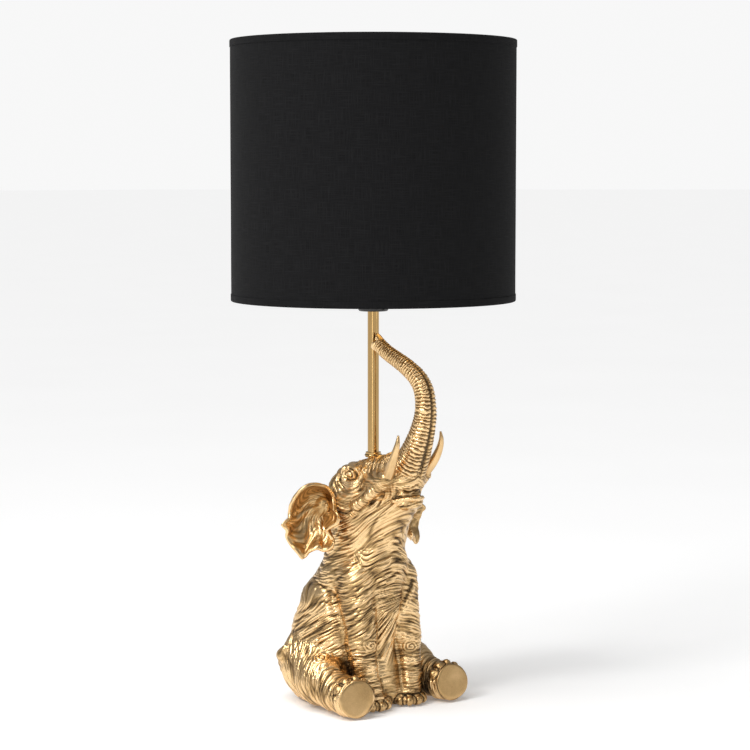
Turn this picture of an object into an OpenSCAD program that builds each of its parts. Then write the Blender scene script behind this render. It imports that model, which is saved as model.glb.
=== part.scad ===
// Table lamp: a seated elephant figure with raised trunk carries a lamp tube,
// a screw lampholder with two shade rings, a bulb and a cloth drum shade.
// Millimetres, +Z up. The origin is where the tube's axis meets the table.
// The elephant faces -Y, its left side is +X.

/* [Shade] */
// Outer diameter of the drum shade
shade_d = 250; // [180:2:300]
// Height of the drum shade
shade_h = 226; // [150:2:260]
// Height of the shade's lower rim above the table
shade_z = 358; // [350:1:380]
// Thickness of the laminated cloth
cloth_t = 0.5; // [0.4:0.1:0.8]
// Thickness of the stiff lining
liner_t = 0.6; // [0.4:0.1:0.8]
// Width of the self-cloth trim at each rim
trim_w = 9; // [6:1:14]
// Diameter of the rim wires
wire_d = 3; // [2.5:0.1:3.5]
// Number of spokes that carry the fitter ring
spokes = 3; // [3:1:4]

/* [Lamp tube] */
// Outer diameter of the lamp tube
tube_d = 10; // [9.5:0.1:10.5]
// Diameter of the ring collar on the elephant's head
collar_d = 15.4; // [14:0.2:20]

/* [Lampholder and bulb] */
// Outer diameter of the lampholder's threaded sleeve, at the thread's crests
sleeve_d = 39.6; // [38:0.2:41]
// Outer diameter of the shade rings
ring_d = 52; // [50:1:53]
// Diameter of the bulb's globe
globe_d = 60; // [45:1:62]

/* [Base] */
// Thickness of the felt pad under the figure
pad_t = 0.8; // [0.8:0.1:2]
// Radius of the cord hole in the outlet bush
cord_hole_r = 3.5; // [3:0.1:3.8]

/* [Hidden] */

eps = 0.01;
fine = 64;
gap = 0.05; // radial clearance of pieces assembled in one body
run = 0.3;  // clearance between pieces that turn past each other

gold = "#c39a52";
brass = "#c9a15a";
black_cloth = "#1d1c1d";
lining_gold = "#c8a661";
black_plastic = "#1a1a1a";
steel = "#b9bcc0";

// Heights along the lamp's axis
recess_d = 46;
recess_h = 20;
tube_bottom = 4;
head_top = 220.4;
collar_h = 4.4;
cap_z = 349;       // lowest face of the lampholder
tube_top = cap_z + 12;
cap_top = cap_z + 22;
sleeve_top = cap_z + 57;
fitter_t = 1.6;
fitter_z = shade_z + 22;
ring_h = 6;
contact_z = cap_z + 24;
thread_pitch = 2.8;

// ---------------------------------------------------------------- elephant
// Points on the figure are [side, front, up]: side is away from the midplane.
function at(p) = [-p[0], -p[1], p[2]];

module blob(p, r, n = 26) translate(at(p)) scale([r[0], r[1], r[2]]) sphere(1, $fn = n);

module link(a, ra, b, rb, n = 26) hull() {
  blob(a, ra, n);
  blob(b, rb, n);
}

// Both sides of a piece that is drawn on the elephant's right.
module pair() {
  children();
  mirror([1, 0, 0]) children();
}

module torso() {
  link([0, -38, 8], [49, 43, 15], [0, -35, 44], [53, 43, 38], 30);
  link([0, -35, 44], [53, 43, 38], [0, -34, 66], [52, 44, 34], 32);
  link([0, -34, 66], [52, 44, 34], [0, -30, 88], [47.5, 40, 30], 32);
  link([0, -30, 88], [47.5, 40, 30], [0, -17, 114], [38.5, 39, 18], 30);
  link([0, -17, 114], [38.5, 39, 18], [0, -9, 148], [32, 34, 24], 30);
  link([0, 8, 128], [28, 22, 20], [0, 6, 66], [15, 17, 20], 24);
  link([0, 2, 62], [15, 16, 20], [0, 1, 12], [28, 27, 17], 24);
}

module head() {
  link([0, -9, 148], [32, 34, 24], [0, -6, 184], [35, 36, 28], 30);
  link([0, -6, 185], [35.5, 36, 32], [0, 34, 207], [21, 20, 18], 28);
  link([0, 2, 204], [21, 16, 15], [0, 34, 213], [15, 14, 14], 24);
  link([0, 10, 164], [26.5, 28, 24], [0, 46, 186], [14, 14, 7], 28);
  link([0, 34, 202], [20.5, 17, 13], [0, 47, 203], [17, 14, 13], 24);
  pair() link([17, 22, 200], [12, 14, 12], [21, 43, 207], [7.5, 6.5, 7], 20);
}

trunk_path = [
  [0, 46, 214], [0, 57, 232], [0, 64, 248], [0, 69, 266], [0, 66.5, 283],
  [0, 59, 293.5], [1, 46, 303], [3, 28, 311.5], [4.8, 11.5, 321]
];
trunk_r = [16, 12.4, 10.4, 8.8, 8.2, 7.6, 7, 6.4, 6.2];
trunk_cut = 228;

module trunk_chain() {
  for (i = [0 : len(trunk_path) - 2])
    hull() for (j = [i, i + 1])
      translate(at(trunk_path[j])) sphere(trunk_r[j], $fn = 24);
}

module trunk_room() translate([-25, -95, trunk_cut]) cube([50, 130, 120]);

module foreleg(foot) {
  ankle = foot + [3, -4.5, 18];
  link([25, 5, 109], [17, 19, 23], [26, 13.5, 58], [14, 14, 14], 24);
  link([26, 13.5, 58], [14, 14, 14], ankle, [12, 12.5, 12], 22);
  link(ankle, [12, 12.5, 12], foot, [15.5, 14, 10], 22);
}

module hind_leg(sole) {
  knee = sole + [-4, -50, 8];
  heel = sole + [-1, -16, 0.5];
  link([37, -42, 34], [26, 32, 32], knee, [21.5, 24, 23], 24);
  link(knee, [21.5, 24, 23], heel, [18, 13, 17], 24);
  link(heel, [18, 13, 17], sole, [18, 6, 16.7], 24);
}

module legs() {
  foreleg([18, 21.5, 5]);
  hind_leg([51, 36.5, 17.5]);
  mirror([1, 0, 0]) {
    foreleg([21.5, 22.5, 5]);
    hind_leg([56, 38, 17.5]);
  }
}

tail_path = [[0, -76, 42], [9, -79, 32], [22, -79, 25], [36, -75, 23], [47, -67, 27], [56, -57, 41]];
tail_r = [6.2, 5.2, 4.4, 4, 4, 6];

module tail() {
  for (i = [0 : len(tail_path) - 2])
    hull() for (j = [i, i + 1])
      translate(at(tail_path[j])) sphere(tail_r[j], $fn = 16);
}

module tusk_shape() {
  path = [[19, 37, 202], [21.5, 46, 211], [24, 54.5, 222.5], [25.2, 60.5, 234.5], [24, 62, 246]];
  radii = [5, 4.5, 3.7, 2.6, 1];
  for (i = [0 : len(path) - 2])
    hull() for (j = [i, i + 1]) translate(at(path[j])) sphere(radii[j], $fn = 20);
}

// Ear fan: [outward, up, ripple] from the ear's root, clockwise from the top.
ear_edge = [
  [6, 13, 1], [13, 19.5, 4], [27, 21, 6], [38, 14, 5], [45, 0, 1], [45.5, -9, -1], [51.5, -16, 2],
  [48, -24, 0], [44, -37, 0], [34, -47, 4], [21, -40, 6], [9.5, -38, 9], [8, -30, 9], [9, -18, 9],
  [4, -12, 8]
];
ear_hub = [9, 1, -3];
ear_root = [32, -9, 178];
ear_sweep = [25, 16]; // right, left
ear_t = 1.5;

module ear_shape(sweep) {
  module bead(p) translate([-p[0], -p[2], p[1]]) sphere(ear_t, $fn = 10);
  translate(at(ear_root)) rotate([0, 0, -sweep]) union() {
    for (i = [0 : len(ear_edge) - 2]) hull() {
      bead(ear_hub);
      bead(ear_edge[i]);
      bead(ear_edge[i + 1]);
    }
    hull() {
      bead(ear_hub);
      translate([8, 3, 4]) sphere(5, $fn = 14);
      translate([8, 3, -10]) sphere(5, $fn = 14);
    }
  }
}

bush_y = 60;       // inner end of the cord bush
bush_z = 11;
bush_len = 12;
flange_t = 2;

module figure_cuts() {
  translate([0, 0, -eps]) cylinder(d = recess_d, h = recess_h + eps, $fn = fine);
  cylinder(r = tube_d / 2 + 0.2, h = 260, $fn = fine);
  translate([0, 0, head_top]) cylinder(d = collar_d + 3, h = 20, $fn = fine);
  translate([0, 0, bush_z]) rotate([-90, 0, 0]) {
    cylinder(r = 6.2, h = bush_y + bush_len, $fn = 32);
    translate([0, 0, bush_y + bush_len - flange_t]) cylinder(r = 8.4, h = 30, $fn = 32);
  }
}

module figure_body() color(gold) difference() {
  intersection() {
    union() {
      torso();
      head();
      legs();
      tail();
      trunk_chain();
    }
    translate([-120, -120, pad_t]) cube([240, 240, 400]);
  }
  trunk_room();
  pair() tusk_shape();
  ear_shape(ear_sweep[0]);
  mirror([1, 0, 0]) ear_shape(ear_sweep[1]);
  figure_cuts();
}

module raised_trunk() color(gold) difference() {
  intersection() {
    trunk_chain();
    trunk_room();
  }
  cylinder(r = tube_d / 2 + gap, h = 400, $fn = fine);
  pair() tusk_shape();
}

module right_ear() color(gold) ear_shape(ear_sweep[0]);
module left_ear() color(gold) mirror([1, 0, 0]) ear_shape(ear_sweep[1]);
module right_tusk() color(gold) tusk_shape();
module left_tusk() color(gold) mirror([1, 0, 0]) tusk_shape();

module felt_pad() color("#2a2623") linear_extrude(pad_t) hull() {
  for (s = [-1, 1]) {
    translate([s * 20, 50]) circle(17, $fn = 48);
    translate([s * 24, 4]) circle(16, $fn = 48);
  }
}

// ---------------------------------------------------------------- tube and fixings
washer_t = 2;
nut_h = 5;
nut_flats = 14;
thread_r = tube_d / 2;

module lamp_tube() color(brass) translate([0, 0, tube_bottom]) difference() {
  cylinder(d = tube_d, h = tube_top - tube_bottom, $fn = fine);
  translate([0, 0, -eps])
    cylinder(d = tube_d - 2, h = tube_top - tube_bottom + 2 * eps, $fn = fine);
}

module tube_collar() color(brass) translate([0, 0, head_top]) rotate_extrude($fn = fine)
  difference() {
    union() {
      translate([0, 0]) square([collar_d / 2 - 0.9, collar_h]);
      translate([collar_d / 2 - 1.5, 1.5]) circle(1.5, $fn = 32);
      translate([collar_d / 2 - 2, 3.4]) circle(1, $fn = 32);
    }
    translate([-5, -1]) square([5 + thread_r + gap, collar_h + 2]);
  }

module base_washer() color(steel) translate([0, 0, recess_h - washer_t]) difference() {
  cylinder(d = 34, h = washer_t, $fn = fine);
  translate([0, 0, -1]) cylinder(r = thread_r + gap, h = washer_t + 2, $fn = fine);
}

module base_nut() color(steel) translate([0, 0, recess_h - washer_t - nut_h])
  difference() {
    cylinder(d = nut_flats / cos(30), h = nut_h, $fn = 6);
    translate([0, 0, -1]) cylinder(r = thread_r + gap, h = nut_h + 2, $fn = fine);
  }

module cord_bush() color(black_plastic) translate([0, bush_y, bush_z])
  rotate([-90, 0, 0]) difference() {
    union() {
      cylinder(r = 6, h = bush_len, $fn = fine);
      translate([0, 0, bush_len - flange_t]) cylinder(r = 8, h = flange_t, $fn = fine);
    }
    translate([0, 0, -1]) cylinder(r = cord_hole_r, h = bush_len + 2, $fn = fine);
  }

// ---------------------------------------------------------------- lampholder
wall = 2;
sleeve_r = sleeve_d / 2;
core_r = sleeve_r - 1;
cap_r = sleeve_r + 0.4;

// The thread is drawn as closed rings, so that the shade rings can turn past it.
module crests(z0, z1) {
  count = floor((z1 - z0) / thread_pitch);
  for (i = [0 : count - 1]) translate([0, z0 + i * thread_pitch])
    polygon([[core_r - 1, 0], [core_r, 0], [sleeve_r, 0.7], [sleeve_r, 1.3], [core_r, 2], [core_r - 1, 2]]);
}

module holder_cap() color(black_plastic) difference() {
  rotate_extrude($fn = fine) polygon([
    [7.2, cap_z], [12.2, cap_z], [13, cap_z + 0.8], [cap_r, cap_z + 17], [cap_r, cap_top],
    [cap_r - wall, cap_top], [cap_r - wall, cap_z + 18], [13, cap_z + wall + 4],
    [7.2, cap_z + wall + 4]
  ]);
  translate([0, -6, cap_z + 3]) rotate([90, 0, 0]) cylinder(r = 1.6, h = 12, $fn = 32);
}

module tube_bush() color(steel) translate([0, 0, cap_z]) difference() {
  union() {
    cylinder(r = 7.2 - gap, h = 11, $fn = fine);
    translate([0, 0, wall + 4 + gap]) cylinder(r = 9, h = 2, $fn = fine);
  }
  translate([0, 0, -1]) cylinder(r = thread_r + gap, h = 14, $fn = fine);
  translate([0, -4, 3]) rotate([90, 0, 0]) cylinder(r = 1.55, h = 8, $fn = 32);
}

module locking_screw() color(steel) translate([0, -thread_r - gap, cap_z + 3])
  rotate([90, 0, 0]) difference() {
    cylinder(r = 1.5, h = 6.4, $fn = 32);
    translate([-2, -0.25, 5.6]) cube([4, 0.5, 2]);
  }

carrier_z = cap_z + 18;
carrier_h = 6;

module contact_carrier() color("#d8d2c4") difference() {
  union() {
    translate([0, 0, carrier_z]) cylinder(r = cap_r - wall - gap, h = cap_top - carrier_z, $fn = fine);
    translate([0, 0, carrier_z]) cylinder(r = socket_r + skirt - gap, h = carrier_h, $fn = fine);
  }
  for (s = [-1, 1]) translate([s * 10, 0, carrier_z - 1]) {
    cylinder(r = 2.1, h = carrier_h + 2, $fn = 32);
  }
  translate([0, 12, carrier_z - 1]) cylinder(r = 3, h = carrier_h + 2, $fn = 32);
}

module terminal_screws() color(brass) for (s = [-1, 1])
  translate([s * 10, 0, carrier_z + 1]) difference() {
    cylinder(r = 2, h = carrier_h - 1, $fn = 32);
    translate([-3, -0.3, -1]) cube([6, 0.6, 2]);
  }

module centre_contact() color(brass) translate([0, 0, contact_z + gap]) {
  translate([-2, -9, 0]) cube([4, 12, 0.6]);
  translate([0, 0, 0.6]) cylinder(r = 2, h = 1.4, $fn = 32);
}

module side_contact() color(brass) translate([shell_r + run, -2, contact_z + gap])
  cube([0.6, 4, 9]);

sleeve_z = cap_top + gap;
socket_r = 14.6;
skirt = 1.6;

module threaded_sleeve() color(black_plastic) difference() {
  union() {
    translate([0, 0, contact_z + 0.6]) cylinder(r = core_r, h = sleeve_top - contact_z - 0.6, $fn = fine);
    translate([0, 0, sleeve_z]) cylinder(r = cap_r - wall - gap, h = 4, $fn = fine);
    translate([0, 0, sleeve_z]) cylinder(r = cap_r, h = 1.6, $fn = fine);
    rotate_extrude($fn = fine) crests(sleeve_z + 3, sleeve_top);
  }
  translate([0, 0, cap_top - 4]) cylinder(r = socket_r + skirt, h = 9, $fn = fine);
  cylinder(r = socket_r, h = sleeve_top + 1, $fn = fine);
}

module shade_ring(flange_up) {
  bore = sleeve_r + run;
  difference() {
    union() {
      cylinder(r = bore + 2.6, h = ring_h, $fn = fine);
      translate([0, 0, flange_up ? ring_h - 2 : 0]) cylinder(d = ring_d, h = 2, $fn = fine);
      for (a = [0 : 15 : 345]) rotate([0, 0, a])
        translate([bore + 2.4, -0.7, 0]) cube([1, 1.4, ring_h]);
    }
    translate([0, 0, -1]) cylinder(r = bore, h = ring_h + 2, $fn = fine);
  }
}

module lower_shade_ring() color(black_plastic)
  translate([0, 0, fitter_z - ring_h - run]) shade_ring(true);

module upper_shade_ring() color(black_plastic)
  translate([0, 0, fitter_z + fitter_t + run]) shade_ring(false);

// ---------------------------------------------------------------- shade
shade_r = shade_d / 2;
cloth_r = shade_r - 0.5;
liner_r = cloth_r - cloth_t;
inner_r = liner_r - liner_t;
wire_r = wire_d / 2;
ring_mid_r = inner_r - wire_r - gap;
shade_top = shade_z + shade_h;
trim_t = 0.45;
fitter_r = sleeve_r + 1.2;
fitter_out = fitter_r + 6;

module band(r, t, z0, z1) translate([0, 0, z0]) difference() {
  cylinder(r = r, h = z1 - z0, $fn = 96);
  translate([0, 0, -1]) cylinder(r = r - t, h = z1 - z0 + 2, $fn = 96);
}

module shade_liner() color(lining_gold) band(liner_r - eps, liner_t - 2 * eps, shade_z + 1, shade_top - 1);
module shade_cloth() color(black_cloth) band(cloth_r, cloth_t, shade_z + 1, shade_top - 1);

// The trim wraps the rim from the outside over the edge and in around the wire.
module trim() color(black_cloth) rotate_extrude($fn = 96) {
  translate([cloth_r + gap / 5, 0]) square([trim_t, trim_w]);
  translate([inner_r - 1, 0]) square([cloth_r + gap / 5 + trim_t - inner_r + 1, 0.9]);
}

module bottom_trim() translate([0, 0, shade_z]) trim();
module top_trim() translate([0, 0, shade_top]) mirror([0, 0, 1]) trim();

module wire_ring() rotate_extrude($fn = 96) translate([ring_mid_r, 0]) circle(wire_r, $fn = 32);

bottom_wire_z = shade_z + 1 + wire_r;
module bottom_wire_ring() color(steel) translate([0, 0, bottom_wire_z]) wire_ring();
module top_wire_ring() color(steel) translate([0, 0, shade_top - 1 - wire_r]) wire_ring();

module fitter_ring() color(steel) translate([0, 0, fitter_z]) difference() {
  cylinder(r = fitter_out, h = fitter_t, $fn = fine);
  translate([0, 0, -1]) cylinder(r = fitter_r, h = fitter_t + 2, $fn = fine);
}

// Each spoke runs from the fitter ring's edge down and out to the lower wire.
module fitter_spokes() color(steel) for (i = [0 : spokes - 1]) rotate([0, 0, 90 + i * 360 / spokes]) {
  from = [fitter_out - 0.1, 0, fitter_z + fitter_t / 2];
  to = [ring_mid_r - wire_r + 0.1, 0, bottom_wire_z];
  run_len = norm(to - from);
  slope = atan2(from[2] - to[2], to[0] - from[0]);
  translate(from) rotate([0, 90 + slope, 0]) cylinder(r = 1.4, h = run_len, $fn = 32);
}

// ---------------------------------------------------------------- bulb
tip_z = contact_z + 2 + 0.3;
shell_z = tip_z + 4.5;
shell_h = 22;
neck_z = shell_z + shell_h;
neck_h = 15;
globe_z = 455;
globe_r = globe_d / 2;
shell_r = 13.1;

module bulb_tip() color(steel) translate([0, 0, tip_z])
  cylinder(r1 = 3.4, r2 = 4.6, h = 1.6, $fn = 48);

module bulb_insulator() color(black_plastic) translate([0, 0, tip_z + 1.6 + eps])
  cylinder(r1 = 5.4, r2 = 11.4, h = 2.9 - 2 * eps, $fn = fine);

module bulb_cap() color(steel) {
  translate([0, 0, shell_z]) difference() {
    union() {
      cylinder(r = shell_r - 0.9, h = shell_h, $fn = fine);
      rotate_extrude($fn = fine) intersection() {
        for (i = [0 : 4])
          translate([shell_r - 1.2, 2.2 + i * 3.6]) circle(1.2, $fn = 24);
        translate([5, 0]) square([20, shell_h]);
      }
    }
    translate([0, 0, -1]) cylinder(r = shell_r - 3, h = shell_h + 2, $fn = fine);
  }
}

module bulb_neck() color("#eeeae0") translate([0, 0, neck_z + eps]) difference() {
  cylinder(r1 = shell_r - 0.2, r2 = 18, h = neck_h - 2 * eps, $fn = fine);
  translate([0, 0, -1]) cylinder(r1 = shell_r - 2, r2 = 16, h = neck_h + 2, $fn = fine);
}

module globe_profile(r, base_r) {
  base_z = neck_z + neck_h;
  intersection() {
    union() {
      translate([0, globe_z]) circle(r, $fn = fine);
      polygon([[0, base_z], [base_r, base_z], [r * cos(25), globe_z - r * sin(25)], [0, globe_z]]);
    }
    translate([0, base_z]) square([60, 120]);
  }
}

module bulb_globe() color("#f4f1ea") rotate_extrude($fn = fine) difference() {
  globe_profile(globe_r, 17.8);
  translate([0, -1]) globe_profile(globe_r - 1.2, 16.4);
  translate([-1, 0]) square([1, 1000]);
}

figure_body();
raised_trunk();
right_ear();
left_ear();
right_tusk();
left_tusk();
felt_pad();
base_washer();
base_nut();
cord_bush();
lamp_tube();
tube_collar();
holder_cap();
tube_bush();
locking_screw();
contact_carrier();
centre_contact();
side_contact();
terminal_screws();
threaded_sleeve();
lower_shade_ring();
upper_shade_ring();
fitter_ring();
fitter_spokes();
bottom_wire_ring();
top_wire_ring();
shade_liner();
shade_cloth();
bottom_trim();
top_trim();
bulb_globe();
bulb_neck();
bulb_cap();
bulb_insulator();
bulb_tip();
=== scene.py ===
"""Table lamp with a seated elephant figure: an add-on that builds its visible pieces one by one."""

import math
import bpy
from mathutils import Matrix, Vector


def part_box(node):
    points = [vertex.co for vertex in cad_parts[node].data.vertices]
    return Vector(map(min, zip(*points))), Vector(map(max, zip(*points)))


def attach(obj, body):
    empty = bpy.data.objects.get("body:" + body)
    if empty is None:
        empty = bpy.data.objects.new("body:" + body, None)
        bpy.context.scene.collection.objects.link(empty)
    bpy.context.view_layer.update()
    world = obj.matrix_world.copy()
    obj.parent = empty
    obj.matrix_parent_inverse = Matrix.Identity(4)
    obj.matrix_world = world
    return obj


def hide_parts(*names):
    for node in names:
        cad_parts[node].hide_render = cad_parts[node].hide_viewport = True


bl_info = {
    "name": "Elephant table lamp",
    "version": (1, 0, 0),
    "blender": (4, 5, 0),
    "location": "3D View > Sidebar > Lamp",
    "description": "Builds the elephant figure, the drum shade and the finishes of a table lamp",
    "category": "Object",
}

import bmesh
import bpy
import numpy as np
import openvdb
from bpy.props import FloatProperty, FloatVectorProperty, PointerProperty
from mathutils import Vector

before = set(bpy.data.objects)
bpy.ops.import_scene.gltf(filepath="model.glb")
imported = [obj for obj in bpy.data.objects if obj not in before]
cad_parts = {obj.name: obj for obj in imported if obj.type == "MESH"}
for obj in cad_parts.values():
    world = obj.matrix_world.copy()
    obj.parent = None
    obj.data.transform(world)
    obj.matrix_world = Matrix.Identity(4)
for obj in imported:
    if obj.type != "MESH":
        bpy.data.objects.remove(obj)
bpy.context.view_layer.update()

MM = 0.001
PAD_THICKNESS = 0.8
COLLAR_SEAT = 220.4


# ---------------------------------------------------------------- small helpers


def at(side, front, up):
    """A point on the figure in millimetres: side is to its right, front is where it looks."""
    return np.array([-side, -front, up], float)


def mirrored(point):
    return point * np.array([-1.0, 1.0, 1.0])


def unit(vector):
    vector = np.asarray(vector, float)
    return vector / np.linalg.norm(vector)


def smooth_step(value, low, high):
    t = np.clip((value - low) / (high - low), 0.0, 1.0)
    return t * t * (3.0 - 2.0 * t)


def bell(value, middle, width):
    """1 at the middle, falling smoothly to 0 on both sides."""
    return np.exp(-(((value - middle) / width) ** 2))


SLOPES = np.random.RandomState(11).normal(size=(4096, 3))
SLOPES /= np.linalg.norm(SLOPES, axis=1)[:, None]
SCATTER = (73856093, 19349663, 83492791)  # primes that spread grid cells over the slopes
SEED_SPREAD = 2654435  # sets the fields of different seeds apart
STIR = 1274126177  # mixes the upper digits into the lower ones


def grain(points, seed=0):
    """Gradient noise from -1 to 1 at many points at once, the same on every run."""
    cell = np.floor(points).astype(np.int64)
    part = points - cell
    fade = part * part * part * (part * (part * 6.0 - 15.0) + 10.0)
    keys = [(cell[:, k, None] + np.array([0, 1])) * prime for k, prime in enumerate(SCATTER)]
    total = np.zeros(len(points))
    for corner in range(8):
        i, j, k = corner & 1, (corner >> 1) & 1, (corner >> 2) & 1
        mixed = keys[0][:, i] ^ keys[1][:, j] ^ keys[2][:, k] ^ (seed * SEED_SPREAD)
        mixed ^= mixed >> 13
        mixed = (mixed * STIR) & 0x7FFFFFFF
        slope = SLOPES[(mixed ^ (mixed >> 15)) & (len(SLOPES) - 1)]
        share = fade[:, 0] if i else 1.0 - fade[:, 0]
        share = share * (fade[:, 1] if j else 1.0 - fade[:, 1])
        share = share * (fade[:, 2] if k else 1.0 - fade[:, 2])
        lift = slope * (part - (i, j, k))
        total += share * (lift[:, 0] + lift[:, 1] + lift[:, 2])
    return np.clip(total * 1.6, -1.0, 1.0)


def mesh_object(name, points, faces):
    """A smooth mesh object from points in millimetres."""
    mesh = bpy.data.meshes.new(name)
    corners = np.concatenate([np.asarray(face, np.int32) for face in faces])
    starts = np.concatenate([[0], np.cumsum([len(face) for face in faces])[:-1]])
    mesh.vertices.add(len(points))
    mesh.vertices.foreach_set("co", (np.asarray(points, float) * MM).ravel())
    mesh.loops.add(len(corners))
    mesh.loops.foreach_set("vertex_index", corners)
    mesh.polygons.add(len(faces))
    mesh.polygons.foreach_set("loop_start", starts)
    mesh.polygons.foreach_set("use_smooth", [True] * len(faces))
    mesh.update(calc_edges=True)
    mesh.validate()
    piece = bpy.data.objects.new(name, mesh)
    bpy.context.scene.collection.objects.link(piece)
    return piece


def add_value(piece, name, values):
    """Stores one number for each point of a mesh, for its material to read."""
    layer = piece.data.attributes.new(name, "FLOAT", "POINT")
    layer.data.foreach_set("value", np.asarray(values, np.float32))


STEPS_BETWEEN = 24  # fine steps from each given place of a curve to the next


def curve_through(points, count):
    """Evenly spaced points on a smooth curve through the given ones, with the directions there."""
    points = np.asarray(points, float)
    padded = np.vstack([2 * points[0] - points[1], points, 2 * points[-1] - points[-2]])
    fine = []
    for i in range(len(points) - 1):
        p0, p1, p2, p3 = padded[i : i + 4]
        bend = 2 * p0 - 5 * p1 + 4 * p2 - p3
        twist = 3 * p1 - p0 - 3 * p2 + p3
        for t in np.linspace(0.0, 1.0, STEPS_BETWEEN, endpoint=False):
            fine.append(0.5 * (2 * p1 + (p2 - p0) * t + bend * t * t + twist * t**3))
    fine.append(points[-1])
    fine = np.array(fine)
    run = np.concatenate([[0.0], np.cumsum(np.linalg.norm(np.diff(fine[:, :3], axis=0), axis=1))])
    even = np.linspace(0.0, run[-1], count)
    spaced = np.stack([np.interp(even, run, fine[:, k]) for k in range(fine.shape[1])], axis=1)
    heading = np.gradient(spaced[:, :3], axis=0)
    heading /= np.linalg.norm(heading, axis=1)[:, None]
    return spaced, heading, even


# ---------------------------------------------------------------- clay


class Limb:
    """A rounded length between two points, with three half-sizes at each end."""

    def __init__(self, start, start_size, end=None, end_size=None):
        self.start = np.asarray(start, float)
        self.end = self.start if end is None else np.asarray(end, float)
        self.start_size = np.asarray(start_size, float)
        self.end_size = self.start_size if end_size is None else np.asarray(end_size, float)

    def mirrored(self):
        return Limb(mirrored(self.start), self.start_size, mirrored(self.end), self.end_size)

    def box(self):
        low = np.minimum(self.start - self.start_size, self.end - self.end_size)
        high = np.maximum(self.start + self.start_size, self.end + self.end_size)
        return low, high

    def distance(self, x, y, z):
        span = self.end - self.start
        length = float(span @ span)
        if length < 1e-9:
            t = 0.0
        else:
            t = sum((here - self.start[k]) * span[k] for k, here in enumerate((x, y, z))) / length
            t = np.clip(t, 0.0, 1.0)
        near = 0.0
        far = 0.0
        for k, here in enumerate((x, y, z)):
            size = self.start_size[k] + t * (self.end_size[k] - self.start_size[k])
            off = (here - self.start[k] - t * span[k]) / size
            near = near + off * off
            far = far + (off / size) ** 2
        near = np.sqrt(near)
        return near * (near - 1.0) / np.maximum(np.sqrt(far), 1e-4)


FAR_AWAY = 60.0  # the distance noted where there is no clay yet
MARGIN = 4.0  # how far round a shape its clay is worked


class Clay:
    """A block of modelling clay: a field of distances on a fine grid, in millimetres."""

    def __init__(self, low, high, step):
        self.low = np.asarray(low, float)
        self.step = step
        self.count = np.ceil((np.asarray(high, float) - self.low) / step).astype(int) + 1
        self.field = np.full(self.count, FAR_AWAY, np.float32)

    def window(self, low, high):
        first = np.clip(np.floor((low - self.low) / self.step).astype(int), 0, self.count)
        last = np.clip(np.ceil((high - self.low) / self.step).astype(int) + 1, 0, self.count)
        cut = tuple(slice(a, b) for a, b in zip(first, last))
        cells = zip(first, last, self.low)
        x, y, z = ((np.arange(a, b) * self.step + start).astype(np.float32) for a, b, start in cells)
        return cut, x[:, None, None], y[None, :, None], z[None, None, :]

    def window_round(self, shape, blend):
        low, high = shape.box()
        return self.window(low - blend - MARGIN, high + blend + MARGIN)

    def add(self, shape, blend):
        cut, x, y, z = self.window_round(shape, blend)
        new = shape.distance(x, y, z)
        old = self.field[cut]
        share = np.clip(0.5 + 0.5 * (old - new) / blend, 0.0, 1.0)
        self.field[cut] = old + (new - old) * share - blend * share * (1.0 - share)

    def keep_inside(self, cut, new, blend):
        """Takes away the clay outside another field, with a soft edge."""
        old = self.field[cut]
        share = np.clip(0.5 + 0.5 * (new - old) / blend, 0.0, 1.0)
        self.field[cut] = old + (new - old) * share + blend * share * (1.0 - share)

    def carve(self, shape, blend):
        cut, x, y, z = self.window_round(shape, blend)
        self.keep_inside(cut, -shape.distance(x, y, z), blend)

    def slice_off(self, low, high, point, normal, blend):
        """Cuts away what lies beyond a plane, inside a box."""
        cut, x, y, z = self.window(low, high)
        new = (x - point[0]) * normal[0] + (y - point[1]) * normal[1] + (z - point[2]) * normal[2]
        self.keep_inside(cut, new, blend)

    def skin(self):
        """The surface of the clay as points and four-sided faces."""
        edge = np.ones(self.field.shape, bool)
        edge[1:-1, 1:-1, 1:-1] = False
        self.field[edge] = np.maximum(self.field[edge], self.step)
        band = 3.0 * self.step
        block = openvdb.FloatGrid(band)
        block.copyFromArray(np.clip(self.field, -band, band).astype(np.float32))
        points, faces = block.convertToQuads(isovalue=0.0)
        return points * self.step + self.low, faces


# ---------------------------------------------------------------- the figure's masses


FIGURE_LOW = at(92, 66, -2)
FIGURE_HIGH = at(-88, -88, 262)

TRUNK_LINE = [
    (*at(0, 44, 211), 15.5),
    (*at(0, 51, 221), 14.0),
    (*at(0, 57.5, 232), 12.4),
    (*at(0, 64, 246), 10.6),
    (*at(0, 68.4, 260), 9.3),
    (*at(0, 69.2, 272), 8.6),
    (*at(0, 66.5, 284), 8.1),
    (*at(0.4, 59.5, 293.5), 7.6),
    (*at(1.2, 48, 301.5), 7.0),
    (*at(2.4, 35, 308), 6.5),
    (*at(3.6, 22.5, 314), 6.1),
    (*at(4.8, 10.5, 321.5), 5.9),
]

EYE = at(30.2, 2.5, 207.5)
EAR_ROOT = at(32.5, -10.5, 179.5)
EAR_SWEEP = (25.0, 20.5)  # degrees back from the side: right, left

FORELEG = {"right": at(18, 21.5, 5), "left": at(-21.5, 22.5, 5)}
THIGH = at(52, -8, 47)  # the middle of the rings on the right thigh
KNEE = {"right": at(25, 28, 59.5), "left": at(-20.7, 27, 52.6)}
SOLE = {"right": at(51, 36.5, 17.5), "left": at(-56, 38, 17.5)}
SOLE_DEPTH = 5.5  # from the middle of a foot to the flat of its sole
NAIL_SIZE = 5.2  # half the width of a toenail
SOLE_FACING = {"right": unit(at(0.34, 1, 0.12)), "left": unit(at(0.04, 1, 0.16))}


def limbs_along(line):
    """Round limbs through the places and radii of a line."""
    return [Limb(a[:3], [a[3]] * 3, b[:3], [b[3]] * 3) for a, b in zip(line[:-1], line[1:])]


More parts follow.
